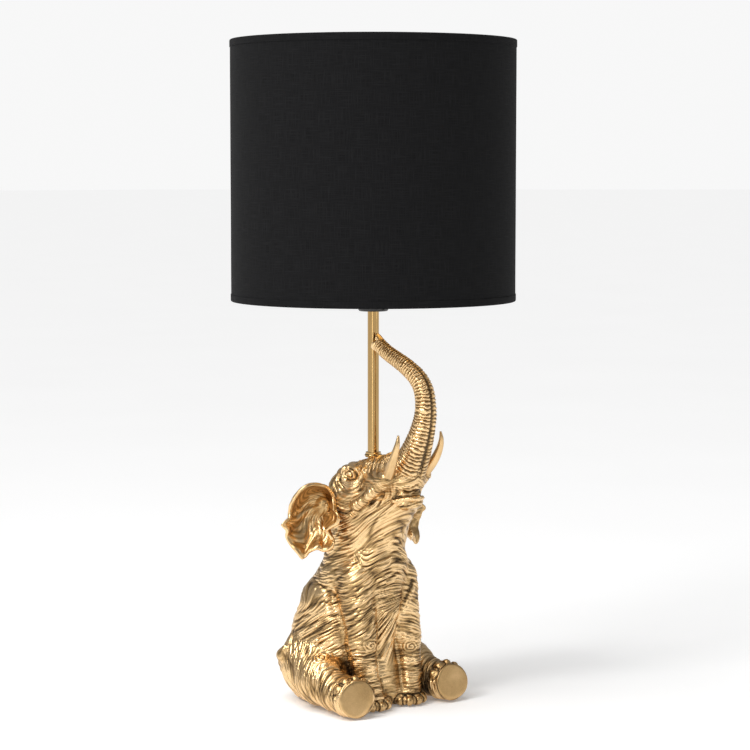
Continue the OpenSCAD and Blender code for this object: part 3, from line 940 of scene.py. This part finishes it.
def build_band(node, looks):
    """A strip of the same cloth folded round a rim of the shade: outside, over the wire and inside."""
    low, high = (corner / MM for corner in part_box(node))
    outer = (high.x - low.x) / 2
    deep = high.z - low.z
    thick = looks.cloth_thickness / MM * 1.3
    turn_in = 3.6  # from the outside of the band to its inside
    outer_round, inner_round = 1.1, 0.7  # how tightly it bends over the rim
    flush = 0.35  # how far the band's outside is pressed in
    outside = [(outer - flush, t) for t in np.linspace(2.8, deep - 1.2, 10)]
    outer_bend = arc_points((outer - flush - outer_round, deep - 1.15), outer_round, 0, 90, 7)
    top = [(outer - t, deep - 0.05) for t in np.linspace(1.7, turn_in - 1.0, 4)]
    inner_bend = arc_points((outer - turn_in + 0.75, deep - 0.75), inner_round, 90, 180, 7)
    inside = [(outer - turn_in + 0.05, t) for t in np.linspace(deep - 0.8, deep - 7.0, 10)]
    line = np.array(outside + outer_bend + top + inner_bend + inside)
    gap = np.gradient(line, axis=0)
    gap /= np.linalg.norm(gap, axis=1)[:, None]
    inward = np.stack([-gap[:, 1], gap[:, 0]], axis=1)
    profile = np.concatenate([line, (line + inward * thick)[::-1]])
    if node == "top_trim":
        profile[:, 1] = low.z + profile[:, 1]
    else:
        profile[:, 1] = high.z - profile[:, 1]
    around = 720  # sections round the rim
    angles = np.linspace(0, 2 * math.pi, around, endpoint=False)
    size = len(profile)
    run = np.concatenate([[0], np.cumsum(np.linalg.norm(np.diff(profile, axis=0), axis=1))])
    points, lay = [], []
    for a in angles:
        ripple = 0.06 * math.sin(a * 9 + 1.3) + 0.05 * math.sin(a * 23 + 0.4)
        radius = profile[:, 0] - 0.08 + ripple * 0.5
        points.append(np.stack([radius * math.cos(a), radius * math.sin(a), profile[:, 1]], axis=1))
        lay.append(np.stack([np.full(size, a * outer), run, np.zeros(size)], axis=1) * MM)
    points = np.concatenate(points)
    faces = []
    for k in range(around):
        here, there = k * size, ((k + 1) % around) * size
        for j in range(size):
            after = (j + 1) % size
            faces.append((here + j, there + j, there + after, here + after))
    band = mesh_object(node.replace("trim", "binding"), points, faces)
    outward_faces(band)
    add_lay(band, np.concatenate(lay))
    return band


# ---------------------------------------------------------------- finishes


def finish(name):
    """A new material with its node tree and main shader."""
    material = bpy.data.materials.new(name)
    material.use_nodes = True
    tree = material.node_tree
    return material, tree, tree.nodes["Principled BSDF"]


def link(tree, start, end):
    tree.links.new(start, end)


def add_node(tree, kind, **settings):
    made = tree.nodes.new(kind)
    for key, value in settings.items():
        setattr(made, key, value)
    return made


def preset(node, values):
    for socket, value in values.items():
        node.inputs[socket].default_value = value


def noise_node(tree, vector, scale, detail=3.0, roughness=0.55):
    made = add_node(tree, "ShaderNodeTexNoise")
    preset(made, {"Scale": scale, "Detail": detail, "Roughness": roughness})
    link(tree, vector, made.inputs["Vector"])
    return made.outputs["Fac"]


def object_place(tree, stretch=(1.0, 1.0, 1.0)):
    place = add_node(tree, "ShaderNodeTexCoord")
    mapping = add_node(tree, "ShaderNodeMapping")
    mapping.inputs["Scale"].default_value = stretch
    link(tree, place.outputs["Object"], mapping.inputs["Vector"])
    return mapping.outputs["Vector"]


def ramp(tree, value, stops):
    made = add_node(tree, "ShaderNodeValToRGB")
    marks = made.color_ramp.elements
    while len(marks) < len(stops):
        marks.new(0.5)
    for mark, (place, colour) in zip(marks, stops):
        mark.position = place
        mark.color = (*colour, 1.0)
    link(tree, value, made.inputs["Fac"])
    return made.outputs["Color"]


def remap(tree, value, low, high, to_low, to_high):
    made = add_node(tree, "ShaderNodeMapRange")
    preset(made, {"From Min": low, "From Max": high, "To Min": to_low, "To Max": to_high})
    link(tree, value, made.inputs["Value"])
    return made.outputs["Result"]


def sums(tree, operation, first, second):
    made = add_node(tree, "ShaderNodeMath", operation=operation)
    for socket, value in zip(made.inputs, (first, second)):
        if isinstance(value, (int, float)):
            socket.default_value = value
        else:
            link(tree, value, socket)
    return made.outputs["Value"]


def toward_colour(tree, share, first, second):
    """Mixes a flat colour into another by a share from 0 to 1."""
    made = add_node(tree, "ShaderNodeMix", data_type="RGBA")
    link(tree, share, made.inputs["Factor"])
    link(tree, first, made.inputs[6])
    made.inputs[7].default_value = (*second, 1.0)
    return made.outputs[2]


def bump(tree, shader, height, strength, distance):
    made = add_node(tree, "ShaderNodeBump")
    preset(made, {"Strength": strength, "Distance": distance})
    link(tree, height, made.inputs["Height"])
    link(tree, made.outputs["Normal"], shader.inputs["Normal"])


def gilt_paint():
    """Antique gold paint with painted light: lighter gold with a painted highlight on the ridges, a
    brown wash with painted shade in the folds, and painted shade in the sheltered corners.
    """
    looks = bpy.context.scene.figure_settings
    material, tree, shader = finish("antique_gold_paint")
    fold = add_node(tree, "ShaderNodeAttribute", attribute_name="fold_height")
    corner = add_node(tree, "ShaderNodeAttribute", attribute_name="corner_shade")
    place = object_place(tree)
    cloudy = noise_node(tree, place, 34.0, 4.0)
    speckle = noise_node(tree, place, 900.0, 3.0, 0.6)
    # Painted light: the base colour runs from the ridges' painted highlight through gold to the folds'
    # wash and painted shade, darkest where the corner shelter adds painted shade.
    low = remap(tree, fold.outputs["Fac"], 0.32, -1.0, 0.0, 1.0)
    deep = remap(tree, corner.outputs["Fac"], 0.3, 0.95, 0.0, 1.0)
    wash_and_shade = sums(tree, "ADD", sums(tree, "MULTIPLY", low, 1.2), sums(tree, "MULTIPLY", deep, 0.55))
    uneven = sums(tree, "ADD", wash_and_shade, remap(tree, cloudy, 0.3, 0.7, -0.12, 0.12))
    stops = [(0.0, looks.ridge_highlight_colour), (0.35, looks.gold_colour)]
    stops += [(0.8, looks.fold_wash_and_shade_colour), (1.0, looks.corner_shade_colour)]
    gilt_with_painted_light = ramp(tree, uneven, stops)
    tint = toward_colour(tree, remap(tree, speckle, 0.35, 0.75, 0.0, 0.22), gilt_with_painted_light, looks.ridge_highlight_colour)
    link(tree, tint, shader.inputs["Base Color"])
    shader.inputs["Metallic"].default_value = 1.0
    satin = remap(tree, cloudy, 0.25, 0.75, 0.24, 0.32)
    rough = sums(tree, "ADD", satin, sums(tree, "MULTIPLY", uneven, 0.16))
    link(tree, rough, shader.inputs["Roughness"])
    fine = noise_node(tree, object_place(tree, (1.0, 1.0, 2.4)), 620.0, 4.0, 0.62)
    bump(tree, shader, fine, 0.30, 0.0004)
    return material


def satin_brass():
    """Lacquered tube: satin gold with the faint upright streaks of polishing."""
    material, tree, shader = finish("satin_brass_lacquer")
    streaks = noise_node(tree, object_place(tree, (1.0, 1.0, 0.03)), 1500.0, 3.0)
    cloudy = noise_node(tree, object_place(tree), 60.0, 3.0)
    tint = ramp(tree, streaks, [(0.3, (0.44, 0.275, 0.105)), (0.7, (0.54, 0.35, 0.145))])
    link(tree, tint, shader.inputs["Base Color"])
    shader.inputs["Metallic"].default_value = 1.0
    link(tree, remap(tree, cloudy, 0.3, 0.7, 0.09, 0.15), shader.inputs["Roughness"])
    bump(tree, shader, streaks, 0.12, 0.0001)
    return material


def mottled(name, scale, detail, dark, light, rough, metallic=0.0, relief=None, end=0.7):
    """A finish whose colour and roughness wander with one cloudy noise.

    The relief is the strength and the depth of its bumps; the end is where the colour is lightest.
    """
    material, tree, shader = finish(name)
    cloudy = noise_node(tree, object_place(tree), scale, detail)
    link(tree, ramp(tree, cloudy, [(0.3, dark), (end, light)]), shader.inputs["Base Color"])
    link(tree, remap(tree, cloudy, 0.3, 0.7, *rough), shader.inputs["Roughness"])
    preset(shader, {"Metallic": metallic})
    if relief:
        bump(tree, shader, cloudy, *relief)
    return material, tree, shader


def black_moulding():
    dark, light = (0.010, 0.010, 0.010), (0.020, 0.020, 0.021)
    material, tree, shader = mottled("black_moulded_plastic", 120.0, 4.0, dark, light, (0.36, 0.5))
    bump(tree, shader, noise_node(tree, object_place(tree), 2400.0, 2.0), 0.12, 0.0001)
    return material


def zinc_plate():
    dark, light = (0.46, 0.47, 0.49), (0.66, 0.66, 0.66)
    return mottled("zinc_plated_steel", 260.0, 4.0, dark, light, (0.26, 0.45), 1.0, (0.08, 0.0001))[0]


def sheet_brass():
    dark, light = (0.52, 0.36, 0.14), (0.76, 0.57, 0.25)
    return mottled("bare_sheet_brass", 420.0, 4.0, dark, light, (0.22, 0.42), 1.0, end=0.75)[0]


def cream_insulator():
    dark, light = (0.62, 0.57, 0.46), (0.74, 0.70, 0.60)
    return mottled("cream_insulator", 300.0, 5.0, dark, light, (0.5, 0.68), relief=(0.1, 0.0001))[0]


def black_lacquered_wire():
    dark, light = (0.012, 0.012, 0.013), (0.028, 0.028, 0.03)
    relief = (0.15, 0.0002)
    return mottled("black_lacquered_wire", 240.0, 4.0, dark, light, (0.25, 0.42), relief=relief)[0]


def gold_foil():
    """Gold foiled liner: a metal film with the faint orange peel of its backing."""
    dark, light = (0.62, 0.42, 0.15), (0.72, 0.51, 0.21)
    return mottled("gold_foil_liner", 380.0, 3.0, dark, light, (0.36, 0.46), 0.9, (0.2, 0.0002))[0]


def opal_glass():
    dark, light = (0.80, 0.79, 0.76), (0.87, 0.86, 0.83)
    material, _, shader = mottled("opal_glass", 40.0, 3.0, dark, light, (0.22, 0.3))
    preset(shader, {"Coat Weight": 0.4, "Coat Roughness": 0.08})
    return material


def white_moulding():
    dark, light = (0.74, 0.74, 0.72), (0.80, 0.80, 0.78)
    return mottled("white_moulded_plastic", 150.0, 3.0, dark, light, (0.34, 0.44))[0]


def dark_felt():
    material, tree, shader = finish("dark_felt")
    place = object_place(tree)
    fibres = noise_node(tree, place, 1400.0, 6.0, 0.75)
    tufts = noise_node(tree, place, 180.0, 4.0)
    mixed = sums(tree, "ADD", sums(tree, "MULTIPLY", fibres, 0.6), sums(tree, "MULTIPLY", tufts, 0.4))
    tint = ramp(tree, mixed, [(0.35, (0.012, 0.011, 0.010)), (0.65, (0.045, 0.041, 0.037))])
    link(tree, tint, shader.inputs["Base Color"])
    link(tree, remap(tree, fibres, 0.3, 0.7, 0.85, 0.98), shader.inputs["Roughness"])
    preset(shader, {"Sheen Weight": 0.25})
    bump(tree, shader, mixed, 0.6, 0.0005)
    return material


def black_cotton():
    """Plain woven black cotton: fine threads with thicker slubs here and there."""
    looks = bpy.context.scene.shade_settings
    material, tree, shader = finish("black_cotton_weave")
    lay = add_node(tree, "ShaderNodeAttribute", attribute_name="cloth_lay")
    split = add_node(tree, "ShaderNodeSeparateXYZ")
    link(tree, lay.outputs["Vector"], split.inputs["Vector"])
    thread = 2.0 * math.pi / looks.thread_pitch
    across = sums(tree, "SINE", sums(tree, "MULTIPLY", split.outputs["X"], thread), 0.0)
    upright = sums(tree, "SINE", sums(tree, "MULTIPLY", split.outputs["Y"], thread), 0.0)
    weave = sums(tree, "MULTIPLY", across, upright)

    def slubs(stretch, scale):
        mapping = add_node(tree, "ShaderNodeMapping")
        mapping.inputs["Scale"].default_value = stretch
        link(tree, lay.outputs["Vector"], mapping.inputs["Vector"])
        return noise_node(tree, mapping.outputs["Vector"], scale, 2.0, 0.5)

    weft = slubs((0.05, 1.0, 1.0), 1300.0)
    warp = slubs((1.0, 0.05, 1.0), 1300.0)
    threads = sums(tree, "MAXIMUM", weft, warp)
    lint = noise_node(tree, lay.outputs["Vector"], 2600.0, 3.0, 0.7)
    mixed = sums(tree, "ADD", sums(tree, "MULTIPLY", threads, 0.7), sums(tree, "MULTIPLY", lint, 0.3))
    tint = ramp(tree, mixed, [(0.38, looks.thread_colour), (0.72, looks.slub_colour)])
    shade = toward_colour(tree, remap(tree, weave, -1.0, 1.0, 0.0, 0.35), tint, (0.004, 0.004, 0.0045))
    link(tree, shade, shader.inputs["Base Color"])
    link(tree, remap(tree, threads, 0.3, 0.7, 0.95, 0.8), shader.inputs["Roughness"])
    preset(shader, {"Sheen Weight": 0.02, "Sheen Roughness": 0.5, "Specular IOR Level": 0.09})
    height = sums(tree, "ADD", sums(tree, "MULTIPLY", weave, 0.35), sums(tree, "MULTIPLY", threads, 0.9))
    bump(tree, shader, height, 0.5, 0.00012)
    return material


def dress(piece, material):
    piece.data.materials.clear()
    piece.data.materials.append(material)


def dress_nodes(material, *names):
    """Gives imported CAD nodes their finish."""
    for name in names:
        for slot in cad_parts[name].material_slots:
            slot.material = material


# ---------------------------------------------------------------- sizes and colours


def number(name, description, start, **limits):
    return FloatProperty(name=name, description=description, default=start, **limits)


def length(name, description, start, **limits):
    return number(name, description, start, unit="LENGTH", **limits)


def colour(name, description, start):
    return FloatVectorProperty(name=name, description=description, default=start, subtype="COLOR")


class FigureSettings(bpy.types.PropertyGroup):
    """The elephant figure."""

    clay_step: length("Clay step", "Grid of the modelling clay", 0.00095, min=0.0007)
    # Lighter gold on the ridges, brightened into a painted highlight.
    ridge_highlight_colour: colour("Ridges", "Gold paint where it catches the light", (0.95, 0.66, 0.345))
    gold_colour: colour("Gold", "Gold paint on the open skin", (0.49, 0.31, 0.13))
    # A brown wash in the folds, darkened further as painted shade.
    fold_wash_and_shade_colour: colour("Folds", "Brown wash left in the folds", (0.125, 0.07, 0.028))
    # Painted shade: the colour of the paint in the most sheltered corners.
    corner_shade_colour: colour("Corners", "Dark wash in the deepest corners", (0.035, 0.02, 0.009))


class ShadeSettings(bpy.types.PropertyGroup):
    """The drum shade."""

    overlap: length("Seam overlap", "Width of the glued seam at the back", 0.010, min=0.0)
    cloth_thickness: length("Cloth", "Thickness of the cloth", 0.0003, min=0.0001)
    thread_pitch: length("Thread pitch", "Distance between threads", 0.0011, min=0.0002)
    thread_colour: colour("Threads", "Colour of the fine threads", (0.0048, 0.0048, 0.0051))
    slub_colour: colour("Slubs", "Colour of the raised threads", (0.0128, 0.0128, 0.0134))


class StageSettings(bpy.types.PropertyGroup):
    """The floor, the lights and the camera."""

    camera_distance: length("Distance", "From the lamp's axis", 2.0089)
    camera_aside: length("Aside", "Sideways from the axis", 0.0015)
    camera_height: length("Height", "Above the floor", 0.4739)
    camera_turn: number("Turn", "Round the lamp, from its front", math.radians(-40), subtype="ANGLE")
    camera_down: number("Tilt", "Downward tilt", 0.0900, subtype="ANGLE")
    camera_lens: number("Lens", "Focal length in millimetres", 110.32)
    key_power: number("Key light", "Power of the large soft light", 11.0)
    high_power: number("High light", "Strength of the wide light from above", 1.8)
    surround: number("Surround", "How strongly the pale surround lights the lamp", 0.28)
    floor_glow: number("Floor glow", "Light the floor gives of itself", 0.14)
    backdrop: number("Backdrop", "How bright the surround looks", 0.935)


# ---------------------------------------------------------------- pieces


class LAMP_OT_elephant_body(bpy.types.Operator):
    """Model the elephant's body, legs and head in clay and wrinkle its skin"""

    bl_idname = "lamp.elephant_body"
    bl_label = "Elephant body"

    def execute(self, context):
        piece = build_body(context.scene.figure_settings.clay_step / MM)
        dress(piece, gilt_paint())
        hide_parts("figure_body")
        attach(piece, "lamp")
        return {"FINISHED"}


class LAMP_OT_trunk(bpy.types.Operator):
    """Sweep the raised trunk with its rings, groove and nostrils"""

    bl_idname = "lamp.trunk"
    bl_label = "Trunk"

    def execute(self, context):
        piece = build_trunk(rows=560, count=96)
        dress(piece, bpy.data.materials["antique_gold_paint"])
        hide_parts("raised_trunk")
        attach(piece, "lamp")
        return {"FINISHED"}


class LAMP_OT_ears(bpy.types.Operator):
    """Fold the two spread ears"""

    bl_idname = "lamp.ears"
    bl_label = "Ears"

    def execute(self, context):
        for name, sign, sweep in (("right_ear", 1, EAR_SWEEP[0]), ("left_ear", -1, EAR_SWEEP[1])):
            piece = build_ear(name + "_sheet", sign, sweep, around=480, rows=64)
            dress(piece, bpy.data.materials["antique_gold_paint"])
            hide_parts(name)
            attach(piece, "lamp")
        return {"FINISHED"}


class LAMP_OT_tusks(bpy.types.Operator):
    """Sweep the two tusks"""

    bl_idname = "lamp.tusks"
    bl_label = "Tusks"

    def execute(self, context):
        for name, sign in (("right_tusk", 1), ("left_tusk", -1)):
            piece = build_tusk(name + "_horn", sign, rows=64, count=36)
            dress(piece, bpy.data.materials["antique_gold_paint"])
            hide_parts(name)
            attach(piece, "lamp")
        return {"FINISHED"}


class LAMP_OT_base_fittings(bpy.types.Operator):
    """Finish the felt pad, the fixings under the base and the cord bush"""

    bl_idname = "lamp.base_fittings"
    bl_label = "Base fittings"

    def execute(self, context):
        dress_nodes(dark_felt(), "felt_pad")
        dress_nodes(zinc_plate(), "base_washer", "base_nut", "locking_screw", "terminal_screws")
        dress_nodes(black_moulding(), "cord_bush", "tube_bush")
        return {"FINISHED"}


class LAMP_OT_stem(bpy.types.Operator):
    """Finish the brass tube and its collar"""

    bl_idname = "lamp.stem"
    bl_label = "Tube and collar"

    def execute(self, context):
        dress_nodes(satin_brass(), "lamp_tube", "tube_collar")
        return {"FINISHED"}


class LAMP_OT_holder(bpy.types.Operator):
    """Finish the lamp holder, its contacts and the two rings on its sleeve"""

    bl_idname = "lamp.holder"
    bl_label = "Lamp holder"

    def execute(self, context):
        black = bpy.data.materials["black_moulded_plastic"]
        dress_nodes(black, "holder_cap", "threaded_sleeve", "lower_shade_ring", "upper_shade_ring")
        dress_nodes(cream_insulator(), "contact_carrier")
        dress_nodes(sheet_brass(), "centre_contact", "side_contact", "bulb_tip")
        return {"FINISHED"}


class LAMP_OT_shade_frame(bpy.types.Operator):
    """Finish the shade's wire frame"""

    bl_idname = "lamp.shade_frame"
    bl_label = "Shade frame"

    def execute(self, context):
        wire = black_lacquered_wire()
        dress_nodes(wire, "fitter_ring", "fitter_spokes", "bottom_wire_ring", "top_wire_ring")
        dress_nodes(gold_foil(), "shade_liner")
        return {"FINISHED"}


class LAMP_OT_shade_cloth(bpy.types.Operator):
    """Wrap the shade in cloth and bind its two rims"""

    bl_idname = "lamp.shade_cloth"
    bl_label = "Shade cloth"

    def execute(self, context):
        cloth, bands = build_shade_cloth(context.scene.shade_settings)
        weave = black_cotton()
        for piece, node in ((cloth, "shade_cloth"), (bands[0], "bottom_trim"), (bands[1], "top_trim")):
            dress(piece, weave)
            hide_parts(node)
            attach(piece, "shade")
        return {"FINISHED"}


class LAMP_OT_bulb(bpy.types.Operator):
    """Finish the bulb"""

    bl_idname = "lamp.bulb"
    bl_label = "Bulb"

    def execute(self, context):
        dress_nodes(opal_glass(), "bulb_globe")
        dress_nodes(white_moulding(), "bulb_neck")
        dress_nodes(bpy.data.materials["zinc_plated_steel"], "bulb_cap")
        dress_nodes(bpy.data.materials["black_moulded_plastic"], "bulb_insulator")
        return {"FINISHED"}


# ---------------------------------------------------------------- stage


FLOOR_REACH = 40000  # millimetres from the lamp to each edge of the floor


def soft_light(name, place, target, size, power):
    lamp = bpy.data.lights.new(name, "AREA")
    lamp.shape = "RECTANGLE"
    lamp.size, lamp.size_y = size
    lamp.energy = power
    holder = bpy.data.objects.new(name, lamp)
    holder.location = place
    holder.rotation_euler = (Vector(target) - Vector(place)).to_track_quat("-Z", "Y").to_euler()
    bpy.context.scene.collection.objects.link(holder)


class LAMP_OT_stage(bpy.types.Operator):
    """Set out the pale floor, the studio lights and the camera"""

    bl_idname = "lamp.stage"
    bl_label = "Stage"

    def execute(self, context):
        scene = context.scene
        looks = scene.stage_settings
        scene.view_settings.view_transform = "Standard"

        corners = [(-1, -1, 0), (1, -1, 0), (1, 1, 0), (-1, 1, 0)]
        floor = mesh_object("floor", np.array(corners) * FLOOR_REACH, [(0, 1, 2, 3)])
        material, tree, shader = finish("pale_floor")
        paper = noise_node(tree, object_place(tree), 3.0, 2.0)
        tint = ramp(tree, paper, [(0.3, (0.95, 0.95, 0.95)), (0.7, (0.965, 0.965, 0.965))])
        link(tree, tint, shader.inputs["Base Color"])
        preset(shader, {"Roughness": 0.9, "Specular IOR Level": 0.1})
        preset(shader, {"Emission Color": (1.0, 1.0, 1.0, 1.0), "Emission Strength": looks.floor_glow})
        dress(floor, material)

        world = bpy.data.worlds.new("pale_surround")
        world.use_nodes = True
        sky = world.node_tree
        back = sky.nodes["Background"]
        back.inputs["Color"].default_value = (1.0, 1.0, 1.0, 1.0)
        seen = add_node(sky, "ShaderNodeLightPath")
        glow = remap(sky, seen.outputs["Is Camera Ray"], 0.0, 1.0, looks.surround, looks.backdrop)
        link(sky, glow, back.inputs["Strength"])
        scene.world = world

        turn = looks.camera_turn
        toward = Vector((math.sin(turn), -math.cos(turn), 0.0))
        aside = Vector((math.cos(turn), math.sin(turn), 0.0))
        camera = bpy.data.cameras.new("camera")
        camera.lens = looks.camera_lens
        camera.sensor_width = 36.0
        camera.clip_start = 0.05
        camera.clip_end = 50.0
        stand = bpy.data.objects.new("camera", camera)
        place = toward * looks.camera_distance + aside * looks.camera_aside
        stand.location = (place.x, place.y, looks.camera_height)
        stand.rotation_euler = (math.pi / 2 - looks.camera_down, 0.0, turn)
        scene.collection.objects.link(stand)
        scene.camera = stand

        middle = Vector((0.0, 0.0, 0.2))
        key = toward - aside
        soft_light("key_light", (key.x, key.y, 1.2), middle, (0.36, 0.36), looks.key_power)
        fill = toward * 0.6 + aside * 1.5
        soft_light("fill_light", (fill.x, fill.y, 0.8), middle, (0.35, 1.2), looks.key_power * 0.22)
        strip = toward * 1.3 - aside * 0.42
        power = looks.key_power * 0.15
        soft_light("strip_light", (strip.x, strip.y, 0.62), (0.0, 0.0, 0.3), (0.14, 1.2), power)
        sun = bpy.data.lights.new("high_light", "SUN")
        sun.energy = looks.high_power
        sun.angle = math.radians(45)
        high = bpy.data.objects.new("high_light", sun)
        shine = toward * -0.25 + aside * 0.3 - Vector((0, 0, 1))
        high.rotation_euler = shine.to_track_quat("-Z", "Y").to_euler()
        scene.collection.objects.link(high)
        return {"FINISHED"}


# ---------------------------------------------------------------- panel and running


PIECES = (
    LAMP_OT_elephant_body,
    LAMP_OT_trunk,
    LAMP_OT_ears,
    LAMP_OT_tusks,
    LAMP_OT_base_fittings,
    LAMP_OT_stem,
    LAMP_OT_holder,
    LAMP_OT_shade_frame,
    LAMP_OT_shade_cloth,
    LAMP_OT_bulb,
    LAMP_OT_stage,
)


class LAMP_PT_build(bpy.types.Panel):
    """Buttons for the lamp's pieces"""

    bl_idname = "LAMP_PT_build"
    bl_label = "Elephant table lamp"
    bl_space_type = "VIEW_3D"
    bl_region_type = "UI"
    bl_category = "Lamp"

    def draw(self, context):
        scene = context.scene
        for settings in (scene.figure_settings, scene.shade_settings, scene.stage_settings):
            box = self.layout.box()
            for name in settings.bl_rna.properties.keys():
                if name not in ("rna_type", "name"):
                    box.prop(settings, name)
        for piece in PIECES:
            self.layout.operator(piece.bl_idname)


GROUPS = (
    ("figure_settings", FigureSettings),
    ("shade_settings", ShadeSettings),
    ("stage_settings", StageSettings),
)


def register():
    for name, group in GROUPS:
        bpy.utils.register_class(group)
        setattr(bpy.types.Scene, name, PointerProperty(type=group))
    for piece in PIECES:
        bpy.utils.register_class(piece)
    bpy.utils.register_class(LAMP_PT_build)


def unregister():
    bpy.utils.unregister_class(LAMP_PT_build)
    for piece in reversed(PIECES):
        bpy.utils.unregister_class(piece)
    for name, group in reversed(GROUPS):
        delattr(bpy.types.Scene, name)
        bpy.utils.unregister_class(group)


def main():
    register()
    for piece in PIECES:
        group, name = piece.bl_idname.split(".")
        getattr(getattr(bpy.ops, group), name)()


if __name__ == "__main__":
    main()
